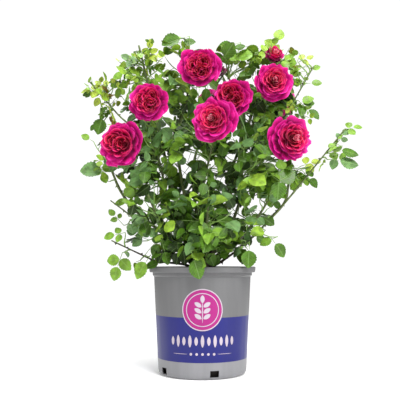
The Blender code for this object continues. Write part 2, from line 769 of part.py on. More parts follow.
def spray(root, spot, pairs, size, space, draw):
    """The pieces of a spray about the spot: its twig, its last leaflet and then its pairs."""
    upward = leaf_normal(spot, space, draw).normalized()
    stray = Vector([draw.uniform(-WAY_STRAY, WAY_STRAY) for _ in range(3)])
    way = (spot - root).normalized() + stray
    way = (way - upward * way.dot(upward) * FLATTENED).normalized()
    aside = upward.cross(way).normalized()
    end = spot - way * LEAFLET_LENGTH * size * (SPRAY_BACK if pairs else LONE_BACK)
    bare = LAST_SPACING + PAIR_SPACING * (pairs - 1) if pairs else LONE_TWIG_END
    bend = end - way * size * bare
    lead = bend - root
    if lead.length < SHORTEST_TWIG or lead.dot(way) < SHARPEST_BEND * lead.length:
        return []
    tip_root = end - way * TIP_LEAFLET_SINK
    pieces = [twig(root, bend, end), leaflet(tip_root, way, upward, size * TIP_LEAFLET_SIZE)]
    for i in range(pairs):
        for side in (1, -1):
            joint = bend + way * (PAIR_SPACING * i + PAIR_OFFSET * (1 + side / 2)) * size
            forward = way * math.cos(LEAFLET_SPREAD) + aside * side * math.sin(LEAFLET_SPREAD)
            share = 1.0 if i else FIRST_PAIR_SIZE
            pieces.append(leaflet(joint, forward, upward, size * share))
    return pieces


def grow_spray(stem_path, spot, space, least, draw):
    """The pieces of the best of some sprays tried at the spot, or none if all of them fail."""
    best = []
    for variant in range(SPRAY_VARIANTS):
        tried = variant / SPRAY_VARIANTS
        share = nearest_share(stem_path, spot) - draw.uniform(0.0, ROOT_STRAY)
        root, _ = along(stem_path, max(share, least))
        stray = 1.0 + draw.uniform(-SIZE_STRAY, SIZE_STRAY)
        size = space.size * stray * (1.0 - SHRINK * tried)
        pairs = 2 if tried < TWO_PAIRS_UNTIL else 1 if tried < ONE_PAIR_UNTIL else 0
        made = spray(root, spot, pairs, size, space, draw)
        if not made or not all(space.takes(piece) for piece in made[:2]):
            continue
        kept = made[:2] + [piece for piece in made[2:] if space.takes(piece)]
        if len(kept) > len(best):
            best = kept
        if len(best) >= 2 + 2 * pairs:
            break
    return best


def nearest_share(path, point):
    """The share of the path at which it comes nearest to the point."""
    shares = [i / SHARE_STEPS for i in range(SHARE_STEPS + 1)]
    return min(shares, key=lambda share: (along(path, share)[0] - point).length)


def grow_mass(name, stem, obstacles, collection, draw):
    """Grows a mass: its stem, and sprays on it about points spread evenly in its space."""
    path, radii = stem
    space = Space(name, obstacles)
    pieces = new_pieces(name)
    from_crown = name in FOOT_MASSES
    least = FOOT_MASS_LEAST_SHARE if from_crown else LEAST_SHARE
    for spot in space.spots(path, draw):
        grown = grow_spray(path, spot, space, least, draw)
        space.grown.extend(tree_of(piece) for piece in grown)
        for mesh in grown:
            add_object("piece", mesh, pieces)
    base = tube("foliage_" + name, path, radii, collection, 0)
    fuse(base, pieces)
    if from_crown:
        cut_clear(base, build_crown(collection, GAP))
    paint(base, "leaf")


def joined_tree(meshes):
    """One search tree of the faces of several meshes."""
    corners, faces = [], []
    for mesh in meshes:
        base = len(corners)
        corners.extend(vert.co.copy() for vert in mesh.vertices)
        faces.extend([base + i for i in polygon.vertices] for polygon in mesh.polygons)
    return BVHTree.FromPolygons(corners, faces)


def main():
    clear_scene()
    bush = bpy.data.collections.new("rose_bush")
    bpy.context.scene.collection.children.link(bush)
    build_pot(bush)
    build_compost(bush)
    build_crown(bush)
    stems = build_limbs(bush)
    for name, bloom in BLOOMS.items():
        build_bloom(name, bloom, stems[bloom.mass], bush)
    limbs = joined_tree([obj.data for obj in bush.objects])
    probes = {name: tube("probe", *stem, bush, 0) for name, stem in stems.items()}
    draw = random.Random(SEED)
    for name, stem in stems.items():
        others = [probe.data for key, probe in probes.items() if key != name]
        grow_mass(name, stem, [limbs, joined_tree(others)], bush, draw)
    for probe in probes.values():
        bpy.data.objects.remove(probe)


main()
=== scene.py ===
"""The looks of a rose bush in bloom in its nursery pot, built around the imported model.

Metres, +Z up, -Y to the front, as in the model. The limbs and masses follow the same sizes and
the same rule as the model's source, and are carried on here to shoots, compound leaves and
toothed leaflets. Each bloom is built from its petals.
"""

import math
import random
from collections import namedtuple

import bmesh
import bpy
import numpy as np
from mathutils import Matrix, Quaternion, Vector, noise


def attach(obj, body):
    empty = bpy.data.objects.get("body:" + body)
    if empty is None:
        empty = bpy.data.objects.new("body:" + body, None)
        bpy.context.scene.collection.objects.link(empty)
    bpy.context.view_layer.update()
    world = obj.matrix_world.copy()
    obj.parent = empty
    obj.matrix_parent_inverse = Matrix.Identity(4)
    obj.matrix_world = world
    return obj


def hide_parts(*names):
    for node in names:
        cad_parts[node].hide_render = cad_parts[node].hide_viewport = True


SEED = 3

# --- Sizes shared with the model's source ---------------------------------------------------

POT_HEIGHT = 0.2205
RIM_RADIUS = 0.1125
RIM_HEIGHT = 0.0115
RIM_LIP = 0.002
COLLAR_HEIGHT = 0.008
COLLAR_OUT = 0.003
WALL_TOP_RADIUS = 0.1020
WALL_FOOT_RADIUS = 0.0930
FOOT_HEIGHT = 0.030
FOOT_DRAFT = 0.001
CORNER_RADIUS = 0.011
WALL = 0.0018
DRAIN_HOLES = 5
DRAIN_HOLE_TURN = math.radians(15)
DRAIN_HOLE_WIDTH = 0.018
DRAIN_HOLE_FOOT = 0.0055
DRAIN_HOLE_TOP = 0.0185
DRAIN_CUT_DEPTH = 0.022

COMPOST_TOP = 0.200
COMPOST_DOME = 0.003
CROWN_FLARE_RADIUS = 0.031
CROWN_FLARE_HEIGHT = 0.012
CROWN_WAIST_RADIUS = 0.021
CROWN_KNUCKLE_RADIUS = 0.022
CROWN_HEIGHT = 0.044
TIER_HEIGHTS = (0.014, 0.026, 0.035)
TIER_LEANS = (math.radians(28), math.radians(48), math.radians(66))
CANE_START_SHARE = 0.45

CANE_FOOT_RADIUS = 0.0043
CANE_TIP_RADIUS = 0.0027
SIDE_CANE_FOOT_RADIUS = 0.0031
STEM_TIP_RADIUS = 0.0021
# The limbs that are slimmer than the solids they stand for, and by how much
SLIM_LIMBS = ("left_top_out", "left_mid", "left_low", "right_long", "right_out")
SLIM_SHARE = 0.64
STRAIGHT_END = 0.006
FORK_OUTWARDS = 1.6
CREST_RISE = 0.5
FOOT_MASS_RISE = 0.4
FOOT_DEPTH = 0.80
TIP_DEPTH = 0.72
BLOOM_TIP_DEPTH = 0.55
LEAST_STEM = 0.040
STALK_LENGTH = 0.030
STALK_DROP = 0.024
BLOOM_DEPTH_SHARE = 0.62
BLOOM_FOOT = -0.46

Mass = namedtuple("Mass", "centre reach foot")
Bloom = namedtuple("Bloom", "centre diameter faces mass")

MASSES = {
    "left_top": Mass((-0.130, 0.000, 0.655), (0.066, 0.070, 0.068), (193, 2)),
    "centre_top": Mass((-0.053, 0.010, 0.629), (0.054, 0.062, 0.102), (243, 2)),
    "right_top": Mass((0.160, 0.045, 0.700), (0.058, 0.060, 0.062), (8, 2)),
    "rear_mid": Mass((0.000, 0.160, 0.590), (0.082, 0.066, 0.105), (96, 2)),
    "left_out": Mass((-0.225, 0.000, 0.443), (0.048, 0.060, 0.072), (168, 1)),
    "left_body": Mass((-0.112, -0.010, 0.464), (0.090, 0.100, 0.106), (218, 1)),
    "centre": Mass((-0.005, -0.020, 0.464), (0.078, 0.100, 0.108), (294, 2)),
    "right_body": Mass((0.112, -0.030, 0.438), (0.084, 0.100, 0.096), (318, 1)),
    "right_upper": Mass((0.119, 0.030, 0.576), (0.076, 0.088, 0.084), (31, 1)),
    "rear_left": Mass((-0.140, 0.130, 0.560), (0.082, 0.070, 0.105), (128, 1)),
    "rear_right": Mass((0.140, 0.130, 0.550), (0.082, 0.070, 0.105), (64, 1)),
    "left_low": Mass((-0.158, -0.030, 0.251), (0.052, 0.055, 0.060), (196, 0)),
    "right_long": Mass((0.280, -0.020, 0.472), (0.070, 0.055, 0.066), (356, 0)),
    "left_foot": Mass((-0.085, -0.050, 0.312), (0.080, 0.088, 0.090), (226, 0)),
    "centre_foot": Mass((0.009, -0.076, 0.306), (0.072, 0.080, 0.088), (272, 0)),
    "right_foot": Mass((0.106, -0.032, 0.308), (0.074, 0.088, 0.088), (312, 0)),
    "rear_low": Mass((0.000, 0.110, 0.350), (0.115, 0.078, 0.100), (92, 0)),
    "left_mid": Mass((-0.172, 0.000, 0.335), (0.048, 0.055, 0.052), ("left_out", 0.36)),
    "left_top_out": Mass((-0.226, 0.020, 0.591), (0.052, 0.055, 0.068), ("left_top", 0.62)),
    "high_top": Mass((0.068, 0.030, 0.676), (0.066, 0.066, 0.056), ("right_top", 0.55)),
    "right_out": Mass((0.222, 0.000, 0.608), (0.046, 0.055, 0.084), ("right_upper", 0.55)),
    "right_side": Mass((0.209, 0.020, 0.417), (0.054, 0.062, 0.056), ("right_long", 0.50)),
}
FOOT_MASSES = ("left_foot", "centre_foot", "right_foot", "rear_low")

BLOOMS = {
    "bloom_left": Bloom((-0.165, -0.100, 0.467), 0.090, (-0.30, -0.95, -0.05), "left_out"),
    "bloom_upper_left": Bloom((-0.111, -0.090, 0.555), 0.078, (-0.08, -0.99, -0.05), "left_body"),
    "bloom_top": Bloom((-0.006, -0.060, 0.636), 0.087, (-0.04, -0.98, -0.14), "centre_top"),
    "bloom_middle": Bloom((0.059, -0.060, 0.572), 0.087, (-0.08, -0.98, -0.08), "right_body"),
    "bloom_front": Bloom((0.020, -0.130, 0.508), 0.086, (-0.25, -0.97, 0.00), "centre"),
    "bloom_upper_right": Bloom((0.150, -0.050, 0.608), 0.082, (0.08, -0.99, -0.02), "right_upper"),
    "bloom_right": Bloom((0.182, -0.080, 0.480), 0.092, (0.36, -0.93, -0.08), "right_side"),
    "bloom_half_open": Bloom((0.159, 0.020, 0.686), 0.049, (0.25, -0.80, 0.50), "right_top"),
    "bloom_behind": Bloom((0.022, 0.022, 0.656), 0.080, (-0.20, -0.55, 0.81), "high_top"),
    "bloom_rear_left": Bloom((-0.132, 0.190, 0.622), 0.084, (-0.30, 0.90, 0.30), "rear_left"),
    "bloom_rear_mid": Bloom((0.030, 0.210, 0.622), 0.084, (0.05, 0.92, 0.38), "rear_mid"),
    "bloom_rear_right": Bloom((0.185, 0.180, 0.620), 0.084, (0.35, 0.90, 0.26), "rear_right"),
}

HALF_OPEN = "bloom_half_open"
SPENT = "bloom_behind"
# How much wider than its solid a loose bloom stands
LOOSE = {"bloom_left": 1.07, "bloom_upper_left": 1.06}

# --- Sizes of what grows on -----------------------------------------------------------------

CANE_SIDES = 12
CANE_POINTS = 40
STEM_SIDES = 6
STEM_POINTS = 14
# The relief of bark as a share of the radius, how fast it changes along a limb and from place
# to place, and how often the pattern on it repeats in a metre
BARK_RELIEF = 0.09
RELIEF_ALONG = 70
RELIEF_SHIFT = 9
PATTERN_ALONG = 20
# The swellings of a cane: the distance between them, how much wider it is there, and the
# length that a shorter limb is taken to have
KNOB_SPACING = 0.045
KNOB_SWELL = 1.14
LEAST_RUN = 0.05
THORN_SPACING = 0.021
THORN_LENGTH = 0.006
THORN_WIDTH = 0.0042
# A thorn's place between its neighbours and its size, each from the least to the most
THORN_PLACES = (0.2, 0.8)
THORN_SIZES = (0.6, 1.0)
# How far out its foot starts, as a share of the limb's radius, how flat it is, and how far its
# point hooks down
THORN_SINK = 0.8
THORN_FLATNESS = 0.35
THORN_HOOK = 0.35
# How far out its waist is, and how much of its foot is left there above, aside and below
THORN_WAIST = 0.4
THORN_WAIST_SHARES = (0.35, 0.5, 0.45)

# The crown starts a little under the compost. From its shoulder, at a share of its height, it
# rounds off, until the square of what is left of its radius has this least value
CROWN_POINTS = 20
CROWN_STEP = 0.0024
CROWN_SINK = 0.004
CROWN_SHOULDER = 0.72
CROWN_FLAT = 0.02
CROWN_SIDES = 40
CROWN_RELIEF = 0.34
# The two ends of each pruned stub, and the cut across it
STUBS = (
    ((0.012, -0.010, 0.226), (0.052, -0.040, 0.258)),
    ((-0.006, 0.010, 0.228), (-0.030, 0.034, 0.262)),
)
STUB_POINTS = 10
STUB_SIDES = 14
STUB_RADII = (0.0068, 0.0060)
STUB_RELIEF = 0.20
CUT_RADII = (0.0054, 0.0052)
CUT_THICKNESS = 0.0006

# A shoot leaves its stem, and bears a compound leaf at each node
SHOOT_SIDES = 5
SHOOT_POINTS = 8
SHOOT_FOOT_RADIUS = 0.0017
SHOOT_TIP_RADIUS = 0.0009
# How far back from its tip's nearest point a shoot leaves the stem, from the least to the most
# of the stem's length, and where it may leave it at the lowest
SHOOT_BACK = (0.05, 0.22)
SHOOT_LOWEST = 0.04
# How much of the stem's own way a shoot keeps where it leaves, and how much its end turns up
SHOOT_KEEPS = 0.4
SHOOT_RISE = 0.35
LEAST_SHOOT = 0.022
# The steps in which the point of a stem nearest to a tip is looked for
NEAREST_STEPS = 20
# The distance between nodes and the turn from one to the next, and how much of a shoot is bare
NODE_SPACING = 0.020
NODE_TURN = math.radians(137.5)
BARE_SHARE = 0.30
# How far out of its mass a shoot may end, and how many places are drawn to choose from
TIP_SKIN = 0.86
TIP_DRAWS = 320

# A compound leaf: a stalk with leaflets in pairs, and one at its end
STALK_RADII = (0.00084, 0.00049)
STALK_SIDES = 3
STALK_SAG = 0.13
STALK_STRAY = 0.06
PETIOLE = 0.017
PAIR_SPACING = 0.019
LEAFLET_LENGTH = 0.036
LEAFLET_WIDTH = 0.84
LEAFLET_STALK = 0.0015
LEAFLET_MIDDLE = 0.55
# From the least to the most that a leaflet's length, its width and its dip are drawn, and how
# far its face tilts
LENGTH_SHARES = (0.90, 1.10)
WIDTH_SHARES = (0.84, 1.14)
LEAFLET_DIPS = (-0.30, 0.08)
LEAFLET_TILT = 0.30
LEAFLET_SPREAD = math.radians(64)
# The share of the last leaflet's size that the pairs have, from the stalk's foot; a lone pair
# has the last of these
PAIR_SIZES = (0.74, 0.90, 0.96)
# A leaflet's outline: how far its widest place lies towards its foot, and how blunt it is
LEAFLET_SKEW = 0.84
LEAFLET_BLUNTNESS = 0.72
TEETH = 7
TOOTH_LEAN = 0.62
TOOTH_DEPTH = 0.10
LAST_TOOTH = 0.9
# From the least to the most that leaflets fold along the midrib, droop, curl and twist, and the
# place along the midrib that they twist about
LEAFLET_KINDS = 10
LEAFLET_BENDS = ((0.05, 0.45), (0.0, 0.28), (0.0, 0.5), (-0.3, 0.3))
TWIST_PLACE = 0.4
# How far out of its mass a leaflet's middle and its tip may lie, and how deep the inner leaves
# begin, which are darker as painted shade, where the tones are not airy ones
LEAF_SKIN = 1.05
TIP_LEAF_SKIN = LEAF_SKIN + 0.10
SHADED_INNER_DEPTH = 0.50
AIRY_TONES = ("youngest", "young", "fresh")
# The room that leaves leave about a bloom, in its own radii: ahead of it, around it, and around
# the camera's line to it
ROOM_AHEAD = 1.4
ROOM_AROUND = 1.08
ROOM_SEEN = 1.02
# The room that they leave over the pot's rim, and outside it
RIM_ROOM_ABOVE = 0.0015
RIM_ROOM_ASIDE = 0.004

# How a leaf turns: its shares of the shoot's way, of its own side and of the way out of the mass
LEAF_TURN = (0.35, 0.9, 0.25)
END_LEAF_TURN = (1.0, 0.25, 0.25)
# How its face turns: up, out of the mass, and at random
FACE_UP = 0.75
FACE_OUT = 0.75
FACE_STRAY = 0.35
# The least and the most of its size, the last one's share of it, and the pairs it is dealt
LEAF_SIZES = (0.62, 1.12)
END_LEAF_SIZE = 0.82
PAIRS = (1, 2, 2)

# How a mass is clothed: the distance between its shoot tips, the size of its leaflets, and
# which tones its leaves are dealt
Growth = namedtuple("Growth", "spacing size tones")
GROWTH = {
    "left_top": Growth(0.033, 0.76, "young"),
    "left_top_out": Growth(0.036, 0.60, "youngest"),
    "centre_top": Growth(0.036, 0.95, "fresh"),
    "right_top": Growth(0.038, 0.84, "fresh"),
    "high_top": Growth(0.048, 1.00, "fresh"),
    "right_out": Growth(0.048, 0.62, "fresh"),
    "left_out": Growth(0.060, 0.66, "young"),
    "left_body": Growth(0.036, 1.00, "broad"),
    "centre": Growth(0.037, 1.05, "broad"),
    "right_body": Growth(0.036, 1.10, "broad"),
    "right_upper": Growth(0.035, 0.90, "full"),
    "left_low": Growth(0.046, 0.78, "full"),
    "left_mid": Growth(0.040, 0.74, "fresh"),
    "right_long": Growth(0.090, 0.60, "fresh"),
    "right_side": Growth(0.046, 0.80, "fresh"),
    "left_foot": Growth(0.035, 1.00, "blue"),
    "centre_foot": Growth(0.035, 1.05, "blue"),
    "right_foot": Growth(0.037, 1.00, "shade"),
    "rear_low": Growth(0.050, 1.05, "shade"),
    "rear_left": Growth(0.040, 1.00, "full"),
    "rear_mid": Growth(0.040, 1.00, "full"),
    "rear_right": Growth(0.040, 1.00, "full"),
}
# The tones of leaves, and each growth's shares of them. The dark tone, nearly black, is painted
# shade: the inner shares and those of the low masses, blue and shade, deal the most of it
TONES = ("young", "bright", "mid", "deep", "blue", "dark", "bronze")
TONE_SHARES = {
    "youngest": (0.40, 0.20, 0.12, 0.06, 0.00, 0.04, 0.18),
    "young": (0.18, 0.42, 0.28, 0.06, 0.05, 0.00, 0.01),
    "fresh": (0.05, 0.50, 0.32, 0.09, 0.04, 0.00, 0.00),
    "full": (0.02, 0.24, 0.42, 0.20, 0.10, 0.02, 0.00),
    "blue": (0.00, 0.01, 0.10, 0.24, 0.39, 0.26, 0.00),
    "broad": (0.00, 0.07, 0.44, 0.26, 0.19, 0.04, 0.00),
    "shade": (0.00, 0.02, 0.14, 0.28, 0.30, 0.26, 0.00),
    "inner": (0.00, 0.04, 0.26, 0.34, 0.12, 0.24, 0.00),
}

# How far the leaf of a leader strays from its pose, the way its face looks, and the room that
# it has ahead and aside, as shares of its reach
LEADER_STRAY = 0.25
FACE_ASIDE = (-0.2, 0.2)
FACE_FRONT = -0.85
FACE_RISE = (0.3, 0.6)
SLEEVE_LENGTH = 1.25
SLEEVE_WIDTH = 0.6

# Leaves that stand out of the bush, each at the end of a shoot from the mass that it is listed
# under: the place of its tip, the way it points as seen from the front, in degrees from the
# right, the size of its leaflets, how many pairs of them it has, and its tone
LEADERS = {
    "centre_top": (
        (-0.087, 0.0, 0.709, 194, 1.15, 0, "deep"),
        (-0.016, 0.01, 0.715, 4, 0.75, 0, "deep"),
        (-0.046, -0.01, 0.671, 262, 0.7, 0, "deep"),
        (0.004, 0.01, 0.581, 256, 0.85, 1, "deep"),
        (-0.079, 0.0, 0.599, 248, 0.95, 0, "mid"),
    ),
    "left_top": (
        (-0.115, 0.0, 0.715, 90, 0.55, 2, "young"),
        (-0.081, -0.01, 0.68, 5, 0.55, 1, "young"),
        (-0.178, 0.0, 0.684, 145, 0.62, 1, "blue"),
        (-0.197, 0.0, 0.628, 215, 0.78, 1, "mid"),
    ),
    "left_top_out": (
        (-0.237, 0.02, 0.631, 150, 0.5, 1, "young"),
        (-0.266, 0.02, 0.604, 185, 0.62, 1, "young"),
        (-0.237, 0.01, 0.57, 240, 0.65, 1, "young"),
        (-0.229, 0.01, 0.51, 252, 0.95, 0, "deep"),
        (-0.246, 0.03, 0.521, 235, 0.45, 0, "deep"),
        (-0.185, 0.01, 0.59, 262, 0.6, 1, "mid"),
    ),
    "left_out": (
        (-0.26, 0.0, 0.504, 150, 0.55, 0, "mid"),
        (-0.265, 0.0, 0.428, 177, 1.4, 0, "blue"),
        (-0.205, 0.0, 0.399, 290, 0.66, 1, "mid"),
    ),
    "left_mid": (
        (-0.187, 0.0, 0.358, 190, 0.72, 1, "mid"),
        (-0.197, 0.0, 0.343, 130, 0.5, 2, "mid"),
    ),
    "left_low": (
        (-0.203, -0.03, 0.284, 190, 0.6, 1, "mid"),
        (-0.187, -0.03, 0.193, 250, 0.85, 1, "mid"),
        (-0.135, -0.06, 0.202, 235, 0.98, 0, "mid"),
    ),
    # The leaders in the dark tone here are painted shade
    "centre_foot": (
        (-0.005, -0.125, 0.2, 288, 1.05, 0, "deep"),
        (-0.033, -0.088, 0.228, 280, 0.75, 1, "dark"),
        (0.001, -0.085, 0.247, 255, 0.7, 1, "dark"),
        (0.023, -0.08, 0.226, 295, 0.7, 1, "deep"),
    ),
    "right_foot": (
        (0.09, -0.084, 0.221, 265, 0.95, 0, "deep"),
        (0.174, -0.03, 0.241, 308, 1.0, 0, "deep"),
        (0.119, -0.04, 0.269, 200, 0.75, 0, "mid"),
        (0.169, -0.01, 0.344, 320, 0.7, 0, "deep"),
        (0.151, -0.02, 0.312, 330, 0.8, 1, "deep"),
        (0.039, -0.07, 0.244, 250, 0.7, 1, "deep"),
    ),
    # The leaders in the dark tone here are painted shade
    "left_foot": (
        (-0.089, -0.068, 0.228, 250, 0.75, 1, "dark"),
        (-0.069, -0.08, 0.226, 285, 0.75, 1, "deep"),
        (-0.104, -0.06, 0.245, 235, 0.7, 1, "deep"),
        (-0.053, -0.085, 0.224, 262, 0.75, 1, "dark"),
    ),
    "right_side": (
        (0.25, 0.01, 0.394, 315, 0.68, 1, "deep"),
        (0.254, 0.0, 0.451, 20, 0.62, 1, "young"),
        (0.149, 0.0, 0.347, 285, 0.72, 1, "mid"),
    ),
    "right_long": (
        (0.339, -0.02, 0.521, 15, 0.52, 1, "mid"),
        (0.309, -0.02, 0.513, 55, 0.48, 1, "blue"),
        (0.329, -0.03, 0.461, 352, 1.0, 0, "deep"),
        (0.328, -0.03, 0.436, 350, 1.1, 0, "blue"),
        (0.273, -0.03, 0.427, 250, 0.62, 0, "blue"),
    ),
    "right_out": (
        (0.243, 0.0, 0.681, 25, 0.5, 1, "young"),
        (0.257, 0.0, 0.657, 30, 0.52, 0, "mid"),
        (0.259, 0.0, 0.621, 5, 0.62, 0, "mid"),
        (0.241, -0.01, 0.585, 25, 0.8, 0, "mid"),
        (0.211, 0.0, 0.655, 335, 0.62, 1, "mid"),
        (0.211, 0.0, 0.625, 30, 0.6, 1, "mid"),
        (0.253, -0.01, 0.539, 320, 0.85, 1, "deep"),
        (0.204, 0.02, 0.569, 300, 0.85, 1, "deep"),
        (0.196, 0.0, 0.634, 250, 0.62, 1, "mid"),
    ),
    "right_upper": (
        (0.143, 0.02, 0.557, 248, 0.85, 1, "deep"),
        (0.174, 0.02, 0.561, 285, 0.85, 1, "mid"),
        (0.134, 0.04, 0.6, 200, 0.8, 1, "deep"),
    ),
    "right_body": (
        (0.09, -0.05, 0.341, 275, 0.95, 0, "mid"),
    ),
    "right_top": (
        (0.174, 0.02, 0.748, 75, 0.8, 1, "bright"),
        (0.134, 0.046, 0.698, 225, 0.66, 0, "deep"),
    ),
    "high_top": (
        (0.074, 0.01, 0.682, 186, 1.1, 0, "mid"),
        (0.092, 0.01, 0.637, 228, 1.05, 0, "deep"),
        (0.03, 0.075, 0.723, 192, 1.15, 0, "deep"),
        (0.067, 0.06, 0.693, 262, 0.66, 0, "deep"),
        (0.092, 0.01, 0.707, 15, 0.62, 1, "deep"),
    ),
}

# Round open places that show what is behind the bush, as seen from the camera: across and up,
# where the line of sight crosses the plane of the pot's axis, and the radius
GAPS = (
    (-0.044, 0.423, 0.017), (-0.101, 0.380, 0.012), (-0.120, 0.260, 0.019), (-0.090, 0.271, 0.010),
    (-0.171, 0.315, 0.012), (0.074, 0.332, 0.015), (0.128, 0.350, 0.015), (0.068, 0.451, 0.015),
    (0.065, 0.230, 0.012), (0.042, 0.230, 0.010), (0.023, 0.249, 0.008), (-0.005, 0.599, 0.012),
    (0.064, 0.642, 0.020), (0.039, 0.643, 0.012), (0.076, 0.652, 0.015), (0.010, 0.724, 0.019),
    (0.111, 0.713, 0.019), (0.213, 0.601, 0.012), (0.232, 0.599, 0.012), (0.222, 0.643, 0.015),
    (-0.165, 0.708, 0.019), (-0.104, 0.699, 0.005), (-0.064, 0.670, 0.015), (0.047, 0.404, 0.008),
    (0.017, 0.449, 0.008), (0.099, 0.539, 0.008), (-0.139, 0.453, 0.008), (-0.018, 0.458, 0.010),
    (0.006, 0.404, 0.010), (0.064, 0.521, 0.007), (-0.041, 0.419, 0.012), (-0.095, 0.393, 0.007),
    (-0.107, 0.307, 0.008), (0.065, 0.728, 0.013), (0.026, 0.714, 0.011), (0.149, 0.440, 0.005),
    (0.080, 0.633, 0.007), (0.189, 0.706, 0.015),
)

# The room that leaves leave around an open place
GAP_MARGIN = 0.003

# The crown's outline in that plane: at each height, how far it reaches to the left and right
OUTLINE = (
    (0.200, -0.150, 0.090), (0.240, -0.135, 0.092), (0.260, -0.165, 0.096), (0.280, -0.180, 0.104),
    (0.300, -0.172, 0.126), (0.330, -0.186, 0.146), (0.360, -0.178, 0.168), (0.390, -0.168, 0.240),
    (0.408, -0.180, 0.250), (0.418, -0.262, 0.250), (0.440, -0.262, 0.334), (0.530, -0.262, 0.338),
    (0.550, -0.240, 0.256), (0.600, -0.266, 0.240), (0.630, -0.246, 0.258), (0.660, -0.196, 0.258),
    (0.690, -0.176, 0.200), (0.720, -0.125, 0.180), (0.735, -0.115, 0.176), (0.739, 0.140, 0.176),
    (0.752, 0.150, 0.176),
)

# The camera, low in front of the bush and looking a little upwards
CAMERA_PLACE = Vector((-0.0049, -1.365, 0.2324))
CAMERA_PITCH = math.radians(5.445)
CAMERA_LENS = 57.6
CAMERA_SENSOR = 36.0


# --- Small helpers --------------------------------------------------------------------------


def scaled(way, reach):
    """A direction from the centre of an ellipsoid, as long as the ellipsoid reaches that way."""
    way = way.normalized()
    return way / math.sqrt(sum((way[i] / reach[i]) ** 2 for i in range(3)))


def smooth_path(start, start_way, end, end_way, count):
    """Points of a limb from start to end, straight for a little at both of its ends."""
    leave, arrive = start_way.normalized(), end_way.normalized()
    first, last = start + leave * STRAIGHT_END, end - arrive * STRAIGHT_END
    span = (last - first).length
    points = [start]
    for i in range(count - 2):
        t = i / (count - 3)
        points.append(
            first * (2 * t**3 - 3 * t**2 + 1)
            + leave * span * (t**3 - 2 * t**2 + t)
            + last * (3 * t**2 - 2 * t**3)
            + arrive * span * (t**3 - t**2)
        )
    return points + [end]


def tapered(start_radius, end_radius, count):
    """Radii that fall evenly from one end of a limb to the other."""
    return [start_radius + (end_radius - start_radius) * i / (count - 1) for i in range(count)]


def along(points, share):
    """The point at a share of a path's length in steps, and the direction there."""
    place = min(max(share, 0.0), 0.999) * (len(points) - 1)
    i = int(place)
    way = (points[i + 1] - points[i]).normalized()
    return points[i].lerp(points[i + 1], place - i), way


def path_length(points):
    """The length of a path."""
    return sum((b - a).length for a, b in zip(points, points[1:]))


def polar(turn, reach=1.0, height=0.0):
    """A point at an angle about Z, at a distance from it and at a height."""
    return Vector((math.cos(turn) * reach, math.sin(turn) * reach, height))


def across(way, draw):
    """A random direction at right angles to the one given."""
    stray = Vector([draw.uniform(-1, 1) for _ in range(3)])
    return way.cross(stray).normalized()


def frame_at(forward, upward):
    """Rows of a rotation whose X runs forward and whose Z is nearest to upward."""
    x = forward.normalized()
    y = upward.cross(x)
    if y.length < 1e-4:
        y = Vector((0, 1, 0)).cross(x)
    y.normalize()
    return np.array((x, y, x.cross(y)))


def ring_faces(rings, count, first=0):
    """The faces between rings of as many points each, numbered on from the first point."""
    faces = []
    for ring in range(rings - 1):
        for k in range(count):
            a, b = (first + ring * count + i for i in (k, (k + 1) % count))
            faces.append((a, b, b + count, a + count))
    return faces


def linked(name, data):
    """A new object of the scene, with its data."""
    obj = bpy.data.objects.new(name, data)
    bpy.context.scene.collection.objects.link(obj)
    return obj


def finished_mesh(name, bm):
    """The mesh that was built in a bmesh, which is freed."""
    mesh = bpy.data.meshes.new(name)
    bm.to_mesh(mesh)
    bm.free()
    return mesh


# --- Materials ------------------------------------------------------------------------------

# How shiny leaves and petals are, and plastic
SOFT_SHINE = 0.25
PLASTIC_SHINE = 0.4
# The values between which most of a noise pattern lies
NOISE_RANGE = (0.3, 0.7)
# A leaf's veins: how many are on each side, how much they slant, how wide the midrib and they
# are until they are gone, how strong they are, how strong all veins are, and their tint
VEINS = 7.0
VEIN_SLANT = 5.0
MIDRIB_WIDTH = (0.012, 0.050)
SIDE_VEIN_WIDTH = (0.03, 0.13)
SIDE_VEIN_SHARE = 0.5
VEIN_SHARE = 0.42
VEIN_TINT = (0.16, 0.24, 0.09)
MOTTLES_PER_METRE = 85.0
# Where a petal takes on its blade's colour over its darker foot, which is painted shade, and its
# edge's paler one, which is a painted highlight, from 0 at its foot to 1, how much of its edge's,
# and its streaks: how many across and along, and how strong
FOOT_SHADE_BAND = (0.55, 0.90)
EDGE_HIGHLIGHT_BAND = (0.86, 1.0)
EDGE_HIGHLIGHT_SHARE = 0.9
STREAKS = (26.0, 2.0, 1.0)
STREAK_SHARE = 0.35
# Bark: its grain and blotches per metre, how far blotches shift the height at which it ages,
# and between which heights it does
GRAINS_PER_METRE = (220.0, 220.0, 36.0)
BLOTCHES_PER_METRE = 46.0
BLOTCH_SHIFT = 0.16
AGING_HEIGHTS = (0.30, 0.46)
# Moulded plastic: its drag and its grain per metre
DRAGS_PER_METRE = (60.0, 60.0, 5.0)
PLASTIC_GRAINS_PER_METRE = 900.0


def colour(red, green, blue):
    """A linear colour from its three display values of 0 to 255."""
    linear = []
    for value in (red, green, blue):
        share = value / 255
        linear.append(share / 12.92 if share <= 0.04045 else ((share + 0.055) / 1.055) ** 2.4)
    return (*linear, 1.0)


def shaded(base, share):
    """The colour made darker or lighter by a share."""
    return (*(min(channel * share, 1.0) for channel in base[:3]), 1.0)


